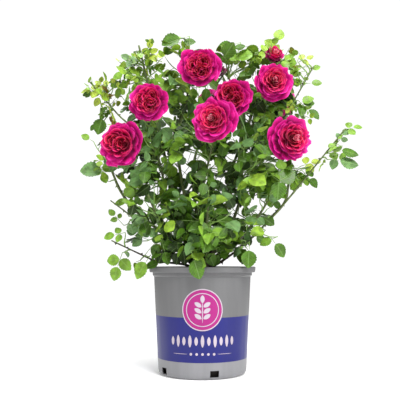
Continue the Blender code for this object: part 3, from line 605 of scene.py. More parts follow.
class Finish:
    """One material: a Principled shader, and the nodes that feed it."""

    def __init__(self, name, **values):
        self.material = bpy.data.materials.new(name)
        self.material.use_nodes = True
        self.tree = self.material.node_tree
        self.shader = self.tree.nodes["Principled BSDF"]
        inputs = {socket.name.lower(): socket for socket in self.shader.inputs}
        for key, value in values.items():
            inputs[key.replace("_", " ")].default_value = value

    def node(self, kind, inputs=(), out=0, **settings):
        """A node with its settings and inputs, which are sockets or plain values."""
        made = self.tree.nodes.new("ShaderNode" + kind)
        for key, value in settings.items():
            setattr(made, key, value)
        for key, value in inputs:
            if isinstance(value, bpy.types.NodeSocket):
                self.tree.links.new(value, made.inputs[key])
            else:
                made.inputs[key].default_value = value
        return made.outputs[out]

    def math(self, operation, *values):
        """A Math node."""
        return self.node("Math", list(enumerate(values)), operation=operation)

    def spread(self, value, low, high, to_low=0.0, to_high=1.0):
        """A value brought from one range to another, and held within it."""
        inputs = [(0, value), (1, low), (2, high), (3, to_low), (4, to_high)]
        return self.node("MapRange", inputs, interpolation_type="SMOOTHSTEP")

    def mix(self, factor, first, second):
        """A mix of two colours."""
        inputs = [(0, factor), (6, first), (7, second)]
        return self.node("Mix", inputs, out=2, data_type="RGBA")

    def shades(self, pattern, low, high, base, darker, lighter):
        """Two shades of a colour, mixed by a pattern between its low and its high value."""
        factor = self.spread(pattern, low, high)
        return self.mix(factor, shaded(base, darker), shaded(base, lighter))

    def place(self, source="Object"):
        """A point's place on the object, or its place on the unwrapped surface."""
        return self.node("TexCoord", out={"UV": 2, "Object": 3}[source])

    def stretched(self, vector, scale):
        """A place with each of its axes scaled."""
        return self.node("Mapping", [("Vector", vector), ("Scale", scale)])

    def noise(self, vector, scale, detail=3.0):
        """Fractal noise."""
        inputs = [("Vector", vector), ("Scale", scale), ("Detail", detail)]
        return self.node("TexNoise", inputs)

    def uv(self):
        """The two coordinates of the unwrapped surface."""
        split = self.tree.nodes.new("ShaderNodeSeparateXYZ")
        self.tree.links.new(self.place("UV"), split.inputs[0])
        return split.outputs[0], split.outputs[1]

    def paint(self, socket):
        """Links the base colour."""
        self.tree.links.new(socket, self.shader.inputs["Base Color"])

    def roughen(self, socket):
        """Links the roughness."""
        self.tree.links.new(socket, self.shader.inputs["Roughness"])

    def bump(self, height, distance, strength=1.0):
        """Raises the surface by a height pattern."""
        inputs = [("Strength", strength), ("Distance", distance), ("Height", height)]
        self.tree.links.new(self.node("Bump", inputs), self.shader.inputs["Normal"])


def leaf_finish(name, blade, roughness):
    """A leaf with a pale midrib, slanting side veins and a mottled blade."""
    made = Finish(
        name,
        roughness=roughness,
        specular_ior_level=SOFT_SHINE,
        subsurface_weight=0.05,
        subsurface_scale=0.004,
    )
    u, v = made.uv()
    aside = made.math("ABSOLUTE", made.math("SUBTRACT", v, 0.5))
    midrib = made.spread(aside, *MIDRIB_WIDTH, 1.0, 0.0)
    onwards, slant = made.math("MULTIPLY", u, VEINS), made.math("MULTIPLY", aside, VEIN_SLANT)
    waves = made.math("PINGPONG", made.math("SUBTRACT", onwards, slant), 0.5)
    side_veins = made.spread(waves, *SIDE_VEIN_WIDTH, SIDE_VEIN_SHARE, 0.0)
    veins = made.math("MAXIMUM", midrib, side_veins)
    mottle = made.noise(made.place(), MOTTLES_PER_METRE)
    mottled = made.shades(mottle, 0.32, 0.68, blade, darker=0.72, lighter=1.30)
    pale = (*(0.5 * channel + tint for channel, tint in zip(blade[:3], VEIN_TINT)), 1.0)
    made.paint(made.mix(made.math("MULTIPLY", veins, VEIN_SHARE), mottled, pale))
    made.roughen(made.spread(mottle, *NOISE_RANGE, roughness - 0.06, roughness + 0.10))
    made.bump(made.math("SUBTRACT", mottle, veins), distance=0.0006, strength=0.5)
    return made.material


def petal_finish(name, base, blade, edge):
    """A velvety petal: darker at its base as painted shade, paler at its edge as a painted
    highlight, with fine streaks.
    """
    made = Finish(
        name,
        roughness=0.55,
        specular_ior_level=SOFT_SHINE,
        sheen_weight=0.05,
        subsurface_weight=0.10,
        subsurface_scale=0.003,
    )
    _, v = made.uv()
    # The darker foot is painted shade, and the paler edge is a painted highlight
    body = made.mix(made.spread(v, *FOOT_SHADE_BAND), base, blade)
    whole = made.mix(made.spread(v, *EDGE_HIGHLIGHT_BAND, 0.0, EDGE_HIGHLIGHT_SHARE), body, edge)
    streaks = made.noise(made.stretched(made.place("UV"), STREAKS), 1.0)
    streaked = made.spread(streaks, 0.35, 0.75, 0.0, STREAK_SHARE)
    made.paint(made.mix(streaked, whole, shaded(base, 0.9)))
    made.bump(streaks, distance=0.0008, strength=0.5)
    return made.material


def cane_finish(name, young, old):
    """Rose bark: smooth and green above, brown and cracked lengthwise towards the crown."""
    made = Finish(name, roughness=0.55)
    place = made.place()
    split = made.node("SeparateXYZ", [(0, place)], out=2)
    grain = made.noise(made.stretched(place, GRAINS_PER_METRE), 1.0, detail=5.0)
    blotch = made.noise(place, BLOTCHES_PER_METRE)
    height = made.math("ADD", split, made.math("MULTIPLY", blotch, BLOTCH_SHIFT))
    age = made.spread(height, *AGING_HEIGHTS, 1.0, 0.0)
    greens = made.shades(grain, 0.35, 0.7, young, darker=0.7, lighter=1.35)
    browns = made.shades(grain, 0.35, 0.7, old, darker=0.55, lighter=1.6)
    made.paint(made.mix(age, greens, browns))
    made.roughen(made.spread(grain, *NOISE_RANGE, 0.45, 0.75))
    made.bump(grain, distance=0.0009, strength=0.8)
    return made.material


def plain_finish(name, base, roughness, grain, depth):
    """A plain colour with a fine mottle of its own."""
    made = Finish(name, roughness=roughness)
    speckle = made.noise(made.place(), grain, detail=5.0)
    made.paint(made.shades(speckle, *NOISE_RANGE, base, darker=0.86, lighter=1.12))
    made.roughen(made.spread(speckle, *NOISE_RANGE, roughness - 0.05, roughness + 0.08))
    made.bump(speckle, depth, strength=0.6)
    return made.material


def moulded_finish(name, base, roughness):
    """Moulded plastic with a faint upright drag and a fine grain."""
    made = Finish(name, roughness=roughness, specular_ior_level=PLASTIC_SHINE)
    place = made.place()
    drag = made.noise(made.stretched(place, DRAGS_PER_METRE), 1.0, detail=4.0)
    grain = made.noise(place, PLASTIC_GRAINS_PER_METRE, detail=2.0)
    made.paint(made.shades(drag, *NOISE_RANGE, base, darker=0.94, lighter=1.05))
    made.roughen(made.spread(drag, *NOISE_RANGE, roughness - 0.05, roughness + 0.07))
    made.bump(grain, distance=0.0002, strength=0.35)
    return made.material


LEAF_COLOURS = {
    "young": (colour(150, 168, 56), 0.36),
    "bright": (colour(130, 164, 50), 0.34),
    "mid": (colour(108, 146, 42), 0.36),
    "deep": (colour(66, 102, 20), 0.38),
    "blue": (colour(90, 125, 70), 0.38),
    # Nearly black: painted shade
    "dark": (colour(26, 46, 4), 0.40),
    "bronze": (colour(112, 88, 30), 0.40),
}
LEAF_MATERIALS = [leaf_finish("leaf_" + tone, *LEAF_COLOURS[tone]) for tone in TONES]
# Each petal's colours: its base, darkened as painted shade, its blade, and its edge, paled as a
# painted highlight
PETAL_MATERIALS = [
    petal_finish("petal_outer", colour(146, 0, 82), colour(220, 8, 138), colour(240, 64, 176)),
    petal_finish("petal_middle", colour(136, 0, 52), colour(230, 8, 106), colour(248, 80, 152)),
    petal_finish("petal_inner", colour(118, 0, 30), colour(224, 12, 78), colour(250, 112, 146)),
    petal_finish("petal_heart", colour(210, 60, 100), colour(246, 150, 172), colour(254, 220, 226)),
    plain_finish("calyx", colour(92, 132, 62), 0.5, 240.0, 0.0004),
    petal_finish("petal_spent", colour(70, 0, 34), colour(140, 4, 72), colour(172, 24, 96)),
]
CANE_MATERIAL = cane_finish("cane_bark", colour(84, 98, 48), colour(48, 37, 26))
SHOOT_MATERIAL = plain_finish("shoot_bark", colour(116, 150, 70), 0.45, 160.0, 0.0003)
WOOD_MATERIAL = plain_finish("cut_wood", colour(150, 124, 84), 0.8, 320.0, 0.0006)
POT_MATERIAL = moulded_finish("pot_plastic", colour(97, 97, 98), 0.42)
# The foot below the band is paler as painted light, bounced up from the floor
POT_FOOT_BOUNCE_MATERIAL = moulded_finish("pot_foot_painted_bounce", colour(130, 130, 133), 0.42)
BAND_MATERIAL = moulded_finish("pot_band", colour(6, 11, 101), 0.38)
BADGE_MATERIAL = moulded_finish("pot_badge", colour(150, 16, 108), 0.40)
MARK_MATERIAL = moulded_finish("pot_marks", colour(176, 164, 176), 0.42)
COMPOST_MATERIAL = plain_finish("compost", colour(30, 24, 20), 0.9, 260.0, 0.0016)
CHIP_MATERIAL = plain_finish("bark_chip", colour(92, 66, 46), 0.85, 190.0, 0.0010)
FLOOR_MATERIAL = Finish(
    "studio_floor",
    base_color=colour(250, 250, 250),
    roughness=0.8,
    emission_color=(1.0, 1.0, 1.0, 1.0),
    emission_strength=0.12,
).material


# --- Pieces ---------------------------------------------------------------------------------


class Piece:
    """The faces of one joined piece, with their place on their material's pattern."""

    def __init__(self):
        self.points = []
        self.faces = []
        self.places = []
        self.slots = []
        self.count = 0

    def add(self, points, faces, places=None, slot=0):
        """Adds some faces. Their numbers count from the first of the points given."""
        base = self.count
        if places is None:
            places = [(0.5, 0.5)] * len(points)
        self.points.append(np.asarray(points, float))
        self.places.append(np.asarray(places, float))
        self.faces.extend([tuple(base + i for i in face) for face in faces])
        self.slots.extend([slot] * len(faces))
        self.count += len(points)

    def build(self, name, materials, slot, nodes=(), sharp=None):
        """Makes the object, which rides on the bush and stands for the nodes given."""
        mesh = bpy.data.meshes.new(name)
        mesh.from_pydata(np.concatenate(self.points).tolist(), [], self.faces)
        mesh.polygons.foreach_set("material_index", self.slots)
        mesh.polygons.foreach_set("use_smooth", [True] * len(mesh.polygons))
        corners = np.zeros(len(mesh.loops), np.int32)
        mesh.loops.foreach_get("vertex_index", corners)
        layer = mesh.uv_layers.new(name="places")
        layer.data.foreach_set("uv", np.concatenate(self.places)[corners].ravel())
        for material in materials:
            mesh.materials.append(material)
        if sharp:
            mesh.set_sharp_from_angle(angle=sharp)
        settle(linked(name, mesh), nodes)


def settle(obj, nodes=()):
    """Puts a piece on the bush, and hides the nodes that it stands for."""
    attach(obj, "root")
    if nodes:
        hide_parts(*nodes)


def swept(path, radii, sides, relief=0.0):
    """Points, faces and places of a round limb along a path, closed at both of its ends."""
    tangents = [
        (path[min(i + 1, len(path) - 1)] - path[max(i - 1, 0)]).normalized()
        for i in range(len(path))
    ]
    side = tangents[0].orthogonal().normalized()
    points, places, run = [], [], 0.0
    for i, (centre, tangent, radius) in enumerate(zip(path, tangents, radii)):
        if i:
            run += (centre - path[i - 1]).length
            side = (side - tangent * side.dot(tangent)).normalized()
        other = tangent.cross(side)
        for k in range(sides):
            turn = math.tau * k / sides
            outwards = side * math.cos(turn) + other * math.sin(turn)
            bulge = 1.0
            if relief:
                spot = Vector((outwards.x * 2, outwards.y * 2, run * RELIEF_ALONG))
                spot += centre * RELIEF_SHIFT
                bulge += relief * noise.noise(spot)
            points.append(centre + outwards * radius * bulge)
            places.append((k / sides, run * PATTERN_ALONG))
    faces = ring_faces(len(path), sides)
    faces.append(tuple(reversed(range(sides))))
    faces.append(tuple((len(path) - 1) * sides + k for k in range(sides)))
    return points, faces, places


# --- Limbs, by the rule of the model's source -------------------------------------------------


def limb_start(mass, cane_paths):
    """Where the limb of a mass starts, and the direction in which it leaves."""
    if mass.foot[0] in cane_paths:
        start, way = along(cane_paths[mass.foot[0]], mass.foot[1])
        outwards = (Vector(mass.centre) - start).normalized()
        return start, way + outwards * FORK_OUTWARDS
    azimuth, tier = mass.foot
    lean = TIER_LEANS[tier]
    outwards = polar(math.radians(azimuth))
    start = outwards * (CROWN_KNUCKLE_RADIUS * CANE_START_SHARE)
    start.z = COMPOST_TOP + TIER_HEIGHTS[tier]
    return start, outwards * math.cos(lean) + Vector((0, 0, math.sin(lean)))


def bloom_back(bloom):
    """The point at the back of a bloom where its stalk arrives."""
    faces = Vector(bloom.faces).normalized()
    return Vector(bloom.centre) + faces * (bloom.diameter * BLOOM_DEPTH_SHARE * BLOOM_FOOT)


def stem_tip(name, mass, start):
    """The end of a mass's stem: towards the back of its bloom, or near its crest."""
    centre = Vector(mass.centre)
    for bloom in BLOOMS.values():
        if bloom.mass == name:
            faces = Vector(bloom.faces).normalized()
            aim = bloom_back(bloom) - faces * STALK_LENGTH - Vector((0, 0, STALK_DROP))
            edge = scaled(aim - centre, mass.reach) * BLOOM_TIP_DEPTH
            return centre + edge if edge.length < (aim - centre).length else aim
    onwards = (centre - start).normalized() + Vector((0, 0, CREST_RISE))
    return centre + scaled(onwards, mass.reach) * TIP_DEPTH


def stem_foot(mass, start, tip):
    """Where the limb enters the mass, a clear stretch short of the stem's tip."""
    centre = Vector(mass.centre)
    inwards = (centre - start).normalized()
    foot = centre - scaled(inwards, mass.reach) * FOOT_DEPTH
    short = LEAST_STEM - (tip - foot).dot(inwards)
    return foot - inwards * max(short, 0.0)


def limb_paths():
    """The path and radii of each cane, and of the stem in each mass."""
    canes, cane_paths, stems = {}, {}, {}
    for name, mass in MASSES.items():
        start, leaving = limb_start(mass, cane_paths)
        tip = stem_tip(name, mass, start)
        foot = stem_foot(mass, start, tip)
        onwards = (tip - foot).normalized()
        if name in FOOT_MASSES:
            arriving = onwards + Vector((0, 0, FOOT_MASS_RISE))
            path = smooth_path(start, leaving, tip, arriving, CANE_POINTS)
            stems[name] = (path, tapered(CANE_FOOT_RADIUS, STEM_TIP_RADIUS, CANE_POINTS))
            continue
        path = smooth_path(start, leaving, foot, onwards, CANE_POINTS)
        forks = mass.foot[0] in cane_paths
        foot_radius = SIDE_CANE_FOOT_RADIUS if forks else CANE_FOOT_RADIUS
        cane_paths[name] = path
        slim = SLIM_SHARE if name in SLIM_LIMBS else 1.0
        canes[name] = (path, tapered(foot_radius * slim, CANE_TIP_RADIUS * slim, CANE_POINTS))
        stem = smooth_path(foot, onwards, tip, onwards, STEM_POINTS)
        stems[name] = (stem, tapered(CANE_TIP_RADIUS * slim, STEM_TIP_RADIUS * slim, STEM_POINTS))
    return canes, stems


def add_thorns(piece, path, radii, draw):
    """Thorns along a limb, each flattened at its foot and hooked down to a point."""
    count = int(path_length(path) / THORN_SPACING)
    for i in range(count):
        share = (i + draw.uniform(*THORN_PLACES)) / count
        point, way = along(path, share)
        radius = radii[int(share * (len(radii) - 1))]
        outwards = across(way, draw)
        aside = way.cross(outwards)
        size = draw.uniform(*THORN_SIZES)
        foot = point + outwards * radius * THORN_SINK
        up, out = way * THORN_WIDTH * size, aside * THORN_WIDTH * THORN_FLATNESS * size
        tip = foot + outwards * THORN_LENGTH * size - way * THORN_LENGTH * THORN_HOOK * size
        waist = foot + outwards * THORN_LENGTH * THORN_WAIST * size
        points = [foot + up, foot + out, foot - up, foot - out]
        above, beside, below = THORN_WAIST_SHARES
        points += [waist + up * above, waist + out * beside]
        points += [waist - up * below, waist - out * beside]
        faces = ring_faces(2, 4) + [(4 + k, 4 + (k + 1) % 4, 8) for k in range(4)]
        piece.add(points + [tip], faces)


def knobbled(path, radii, draw):
    """Radii with a swelling at each node of the cane, at least three points apart."""
    run = max(path_length(path), LEAST_RUN)
    spacing = max(int(len(path) * KNOB_SPACING / run), 3)
    start = draw.randrange(spacing)
    return [r * (KNOB_SWELL if (i + start) % spacing == 0 else 1.0) for i, r in enumerate(radii)]


def build_canes(canes, stems, draw):
    """The canes with their bark's relief and their thorns, in place of the plain ones."""
    for name, (path, radii) in canes.items():
        piece = Piece()
        piece.add(*swept(path, knobbled(path, radii, draw), CANE_SIDES, BARK_RELIEF))
        add_thorns(piece, path, radii, draw)
        piece.build("bark_" + name, [CANE_MATERIAL], "cane_bark", ["cane_" + name])
    piece = Piece()
    for name, (path, radii) in stems.items():
        sides = CANE_SIDES if name in FOOT_MASSES else STEM_SIDES
        piece.add(*swept(path, knobbled(path, radii, draw), sides, BARK_RELIEF))
        add_thorns(piece, path, radii, draw)
    piece.build("stems", [CANE_MATERIAL], "cane_bark")


def build_crown():
    """The knobbly crown with its bark's relief, and the pruned stubs of two old canes."""
    path, radii = [], []
    for i in range(CROWN_POINTS):
        height = COMPOST_TOP - CROWN_SINK + i * CROWN_STEP
        share = (height - COMPOST_TOP) / CROWN_HEIGHT
        flare = max(1.0 - share / (CROWN_FLARE_HEIGHT / CROWN_HEIGHT), 0.0) ** 2
        rounding = max(share - CROWN_SHOULDER, 0.0) / (1.0 - CROWN_SHOULDER)
        dome = math.sqrt(max(1.0 - rounding**2, CROWN_FLAT))
        waist = CROWN_WAIST_RADIUS + (CROWN_FLARE_RADIUS - CROWN_WAIST_RADIUS) * flare
        path.append(Vector((0.0, 0.0, height)))
        radii.append(waist * dome)
    piece = Piece()
    piece.add(*swept(path, radii, CROWN_SIDES, CROWN_RELIEF))
    for start, end in STUBS:
        start, end = Vector(start), Vector(end)
        stub = [start.lerp(end, i / (STUB_POINTS - 1)) for i in range(STUB_POINTS)]
        piece.add(*swept(stub, tapered(*STUB_RADII, STUB_POINTS), STUB_SIDES, STUB_RELIEF))
        cut = [end, end + (end - start).normalized() * CUT_THICKNESS]
        piece.add(*swept(cut, CUT_RADII, STUB_SIDES), 1)
    piece.build("crown_bark", [CANE_MATERIAL, WOOD_MATERIAL], "cane_bark", ["crown"])


# --- Leaves ---------------------------------------------------------------------------------


def leaflet_shape(fold, droop, curl, twist):
    """A toothed leaflet of unit length and unit width, folded, drooping, curled and twisted."""

    def half_width(t):
        return 0.5 * math.sin(math.pi * t**LEAFLET_SKEW) ** LEAFLET_BLUNTNESS

    def surface(x, y):
        return (x, y, fold * abs(y) - droop * x * x - curl * y * y + twist * (x - TWIST_PLACE) * y)

    points = [surface(i / TEETH, 0.0) for i in range(TEETH + 1)]
    places = [(i / TEETH, 0.5) for i in range(TEETH + 1)]
    faces = []
    for side in (1, -1):
        notches = {0: 0, TEETH: TEETH}
        for i in range(1, TEETH):
            notches[i] = len(points)
            y = side * half_width(i / TEETH) * (1 - TOOTH_DEPTH)
            points.append(surface(i / TEETH, y))
            places.append((i / TEETH, 0.5 + y))
        for i in range(TEETH):
            t = (i + TOOTH_LEAN) / TEETH
            y = side * half_width(t) * (1.0 if i < TEETH - 1 else LAST_TOOTH)
            tooth = len(points)
            points.append(surface(t, y))
            places.append((t, 0.5 + y))
            # The first and the last face have their notch on the midrib, and a corner less
            face = list(dict.fromkeys([i, i + 1, notches[i + 1], tooth, notches[i]]))
            faces.append(tuple(face if side > 0 else reversed(face)))
    return np.array(points), faces, np.array(places)


def leaflet_shapes(draw):
    """Some leaflets that differ in how they fold, droop, curl and twist."""
    bends = [[draw.uniform(*bend) for bend in LEAFLET_BENDS] for _ in range(LEAFLET_KINDS)]
    return [leaflet_shape(*bend) for bend in bends]


def seen_through(point):
    """Where the line from the camera through the point crosses the plane of the pot's axis."""
    reach = -CAMERA_PLACE.y / (point.y - CAMERA_PLACE.y)
    return CAMERA_PLACE + (point - CAMERA_PLACE) * reach


def in_outline(through):
    """Whether a point of the plane of the pot's axis lies in the crown's outline."""
    heights, lefts, rights = zip(*OUTLINE)
    if not heights[0] < through.z < heights[-1]:
        return False
    left, right = (np.interp(through.z, heights, reach) for reach in (lefts, rights))
    return left < through.x < right


class Space:
    """The space that the leaves of one mass keep to.

    It is the mass's ellipsoid inside the crown's outline, less the air in front of each bloom
    and the open places.
    """

    def __init__(self, mass):
        self.centre = Vector(mass.centre)
        self.reach = mass.reach

    def depth(self, point):
        """How far out the point lies in the ellipsoid, from 0 at its centre to 1 at its skin."""
        offset = point - self.centre
        return math.sqrt(sum((offset[i] / self.reach[i]) ** 2 for i in range(3)))

    def holds(self, point, skin=LEAF_SKIN):
        """Whether a leaf may lie there."""
        if self.depth(point) > skin or not in_outline(seen_through(point)):
            return False
        return is_free(point, GAP_MARGIN)

    def tips(self, spacing, draw):
        """Points spread evenly through the space, each as far as it can be from the others."""
        drawn = []
        for _ in range(TIP_DRAWS):
            offset = [reach * draw.uniform(-1, 1) for reach in self.reach]
            point = self.centre + Vector(offset)
            if self.depth(point) < TIP_SKIN:
                drawn.append(point)
        nearest = {i: (self.centre - point).length for i, point in enumerate(drawn)}
        tips = []
        while nearest:
            best = max(nearest, key=nearest.get)
            if nearest.pop(best) < spacing:
                break
            tips.append(drawn[best])
            for i in nearest:
                nearest[i] = min(nearest[i], (drawn[i] - drawn[best]).length)
        return tips


BLOOM_AXES = [
    (Vector(bloom.centre), Vector(bloom.faces).normalized(), bloom.diameter / 2)
    for name, bloom in BLOOMS.items()
    if name != SPENT
]


def is_free(point, margin=0.0):
    """Whether the point hides no bloom and no open place, and is clear of the pot."""
    for centre, faces, radius in BLOOM_AXES:
        offset = point - centre
        ahead = offset.dot(faces)
        around = (offset - faces * ahead).length
        if -radius < ahead < ROOM_AHEAD * radius and around < ROOM_AROUND * radius:
            return False
        if faces.y < 0 and point.y < centre.y:
            line = (centre - CAMERA_PLACE).normalized()
            offset = point - CAMERA_PLACE
            if (offset - line * offset.dot(line)).length < ROOM_SEEN * radius:
                return False
    through = seen_through(point)
    for x, z, width in GAPS:
        if math.hypot(through.x - x, through.z - z) < width + margin:
            return False
    outwards = math.hypot(point.x, point.y)
    return point.z > POT_HEIGHT + RIM_ROOM_ABOVE or outwards > RIM_RADIUS + RIM_ROOM_ASIDE


# One compound leaf to be grown: where it leaves its shoot, the way it points, the way its face
# looks, its size, its pairs of leaflets, its tone, and how far it strays and droops
Spray = namedtuple("Spray", "root heading upward size pairs tone stray")
# The last leaf of a shoot that has a place of its own
Leader = namedtuple("Leader", "tip way size pairs tone")


def compound_leaf(leaves, stalks, spray, space, draw):
    """A leaf of one leaflet at the end and some in pairs. Returns how many leaflets it has."""
    aside = spray.upward.cross(spray.heading).normalized()
    steps = [PETIOLE] + [PAIR_SPACING] * spray.pairs
    joints, heading, point = [spray.root], spray.heading, spray.root.copy()
    for step in steps:
        sag = Vector((0, 0, -STALK_SAG)) + across(heading, draw) * STALK_STRAY
        heading = (heading + sag * spray.stray).normalized()
        point = point + heading * step * spray.size
        joints.append(point)
    wanted = [(joints[-1], heading, 1.0)]
    for i in range(spray.pairs):
        share = PAIR_SIZES[i if spray.pairs > 1 else -1]
        for side in (1, -1):
            forward = heading * math.cos(LEAFLET_SPREAD) + aside * side * math.sin(LEAFLET_SPREAD)
            wanted.append((joints[i + 1], forward, share))
    kept, last = 0, 0
    for joint, forward, share in wanted:
        length = LEAFLET_LENGTH * spray.size * share * draw.uniform(*LENGTH_SHARES)
        width = length * LEAFLET_WIDTH * draw.uniform(*WIDTH_SHARES)
        normal = (spray.upward + across(forward, draw) * LEAFLET_TILT * spray.stray).normalized()
        dip = Vector((0, 0, draw.uniform(*LEAFLET_DIPS)))
        forward = (forward + dip * spray.stray).normalized()
        base = joint + forward * LEAFLET_STALK
        middle, tip = base + forward * length * LEAFLET_MIDDLE, base + forward * length
        shape, faces, places = draw.choice(LEAFLET_SHAPES)
        if not (space.holds(middle) and space.holds(tip, TIP_LEAF_SKIN)):
            continue
        turned = (shape * (length, width, length)) @ frame_at(forward, normal)
        leaves.add(turned + np.array(base), faces, places, TONES.index(spray.tone))
        kept += 1
        last = max(last, joints.index(joint))
    if kept:
        run = joints[: last + 1]
        stalks.add(*swept(run, tapered(*STALK_RADII, len(run)), STALK_SIDES))
    return kept


def grow_shoot(leaves, stalks, path, growth, leader, space, draw):
    """A compound leaf at each node of a path, and the shoot as far as its last leaf.

    The growth gives the leaves' size and tones, and a leader gives the last leaf its own.
    """
    nodes = max(int(path_length(path) * (1 - BARE_SHARE) / NODE_SPACING), 1)
    turn = draw.uniform(0, math.tau)
    reached = 0.0
    for i in range(nodes + 1):
        share = BARE_SHARE + (1 - BARE_SHARE) * i / nodes
        root, way = along(path, share)
        turn += NODE_TURN
        side = Quaternion(way, turn) @ way.orthogonal().normalized()
        last = i == nodes
        out = (root - space.centre).normalized()
        # A leaf deep inside a mass that is not airy is dealt the inner shares, darker as painted
        # shade
        inner = space.depth(root) < SHADED_INNER_DEPTH and growth.tones not in AIRY_TONES
        tone = draw.choices(TONES, TONE_SHARES["inner" if inner else growth.tones])[0]
        if last and leader:
            heading, stray = leader.way, LEADER_STRAY
            upward = Vector((draw.uniform(*FACE_ASIDE), FACE_FRONT, draw.uniform(*FACE_RISE)))
            size, pairs, tone = leader.size, leader.pairs, leader.tone
        else:
            onwards, sideways, outwards = END_LEAF_TURN if last else LEAF_TURN
            heading = way * onwards + side * sideways + out * outwards
            heading, stray = heading.normalized(), 1.0
            upward = Vector((0, 0, FACE_UP)) + out * FACE_OUT + across(way, draw) * FACE_STRAY
            size = growth.size * draw.uniform(*LEAF_SIZES) * (END_LEAF_SIZE if last else 1.0)
            pairs = draw.choice(PAIRS)
        upward = (upward - heading * upward.dot(heading)).normalized()
        spray = Spray(root, heading, upward, size, pairs, tone, stray)
        if compound_leaf(leaves, stalks, spray, space, draw):
            reached = share
    points = [point for i, point in enumerate(path) if i / (len(path) - 1) < reached]
    if points:
        points.append(along(path, reached)[0])
        radii = tapered(SHOOT_FOOT_RADIUS, SHOOT_TIP_RADIUS, len(points))
        stalks.add(*swept(points, radii, SHOOT_SIDES))


def nearest_share(path, point):
    """The share of the path at which it comes nearest to the point."""
    shares = [i / NEAREST_STEPS for i in range(NEAREST_STEPS + 1)]
    return min(shares, key=lambda share: (along(path, share)[0] - point).length)


def shoot_path(stem, tip, draw):
    """The path of a shoot from its stem out to its tip, turning up at its end."""
    share = max(nearest_share(stem, tip) - draw.uniform(*SHOOT_BACK), SHOOT_LOWEST)
    root, way = along(stem, share)
    outwards = (tip - root).normalized()
    arriving = outwards + Vector((0, 0, SHOOT_RISE))
    return smooth_path(root, way * SHOOT_KEEPS + outwards, tip, arriving, SHOOT_POINTS)


class Sleeve(Space):
    """The space along a shoot that stands out of its mass, and about the leaf at its end."""

    def __init__(self, mass, path, tip):
        super().__init__(mass)
        self.path = path
        self.tip = tip

    def holds(self, point, skin=LEAF_SKIN):
        """Whether a leaf may lie there, which no skin of the mass bounds."""
        end = self.path[-1]
        reach = (self.tip - end).length
        ahead = (point - end).dot(self.tip - end) / reach
        aside = math.sqrt(max((point - end).length_squared - ahead * ahead, 0.0))
        if 0 < ahead < reach * SLEEVE_LENGTH and aside < reach * SLEEVE_WIDTH:
            return is_free(point)
        near = min((spot - point).length for spot in self.path)
        return near < reach and in_outline(seen_through(point)) and is_free(point)


def pointing(heading):
    """A direction in the plane of the pot's axis, from its angle in degrees."""
    turn = math.radians(heading)
    return Vector((math.cos(turn), 0.0, math.sin(turn)))


def grow_leader(leaves, stalks, name, leader, stem, draw):
    """A shoot that stands out of its mass, with its last leaf in its own place."""
    reach = (PETIOLE + PAIR_SPACING * leader.pairs + LEAFLET_LENGTH) * leader.size
    path = shoot_path(stem, leader.tip - leader.way * reach, draw)
    space = Sleeve(MASSES[name], path, leader.tip)
    grow_shoot(leaves, stalks, path, GROWTH[name], leader, space, draw)


def grow_foliage(stems):
    """The shoots and leaves of the masses, joined by kind.

    Each mass and each leader has random draws of its own.
    """
    leaves, stalks = Piece(), Piece()
    for name, (stem, _) in stems.items():
        draw = random.Random(f"{SEED} {name}")
        growth = GROWTH[name]
        space = Space(MASSES[name])
        for tip in space.tips(growth.spacing, draw):
            path = shoot_path(stem, tip, draw)
            if path_length(path) >= LEAST_SHOOT:
                grow_shoot(leaves, stalks, path, growth, None, space, draw)
    for name, rows in LEADERS.items():
        for *tip, heading, size, pairs, tone in rows:
            leader = Leader(Vector(tip), pointing(heading), size, pairs, tone)
            draw = random.Random(f"{SEED} {tuple(tip)}")
            grow_leader(leaves, stalks, name, leader, stems[name][0], draw)
    nodes = ["foliage_" + name for name in MASSES]
    leaves.build("leaves", LEAF_MATERIALS, "leaf", nodes)
    stalks.build("shoots", [SHOOT_MATERIAL], "cane_bark", nodes)


# --- Blooms ---------------------------------------------------------------------------------

# A bloom's materials, in the order of PETAL_MATERIALS
OUTER, MIDDLE, INNER, HEART, CALYX, FADED = range(6)

# Each ring of petals: how many, the petal's reach from the axis at its foot and at its edge,
# the height of both, its half width as an angle, how far its sides cup in, and its material.
# Reaches are shares of the bloom's radius, and heights are shares of its depth
Ring = namedtuple("Ring", "petals foot edge foot_height edge_height half_angle cup finish")
GUARD_RINGS = (
    Ring(5, 0.16, 1.05, -0.44, -0.18, 46, 0.00, OUTER),
    Ring(5, 0.15, 0.99, -0.38, -0.02, 42, 0.05, OUTER),
    Ring(5, 0.14, 0.89, -0.32, 0.12, 43, 0.10, OUTER),
    Ring(6, 0.02, 0.66, -0.10, 0.08, 44, 0.00, MIDDLE),
    Ring(5, 0.13, 0.78, -0.20, 0.20, 43, 0.12, OUTER),
    Ring(6, 0.12, 0.66, -0.12, 0.26, 37, 0.14, MIDDLE),
)
# An even heart, of cups one inside the other
CUP_RINGS = (
    Ring(5, 0.12, 0.56, -0.02, 0.28, 44, 0.14, MIDDLE),
    Ring(4, 0.10, 0.45, 0.02, 0.29, 54, 0.14, INNER),
    Ring(4, 0.08, 0.35, 0.04, 0.28, 54, 0.16, INNER),
    Ring(3, 0.06, 0.25, 0.06, 0.28, 66, 0.16, INNER),
)
# A quartered heart: whorls of small petals about centres of their own, which lie out from the
# bloom's axis by a share of its radius, varied by the shares from the least to the most
WHORL_REACH = 0.25
WHORL_REACHES = (0.85, 1.1)
WHORL_RINGS = (
    Ring(4, 0.16, 0.44, 0.02, 0.28, 52, 0.14, MIDDLE),
    Ring(3, 0.10, 0.31, 0.06, 0.28, 66, 0.16, INNER),
    Ring(3, 0.05, 0.20, 0.06, 0.25, 64, 0.18, INNER),
    Ring(2, 0.02, 0.10, 0.04, 0.20, 80, 0.18, INNER),
)
EYE_RINGS = (
    Ring(4, 0.04, 0.15, 0.10, 0.34, 54, 0.14, HEART),
    Ring(3, 0.01, 0.08, 0.10, 0.34, 64, 0.16, HEART),
)
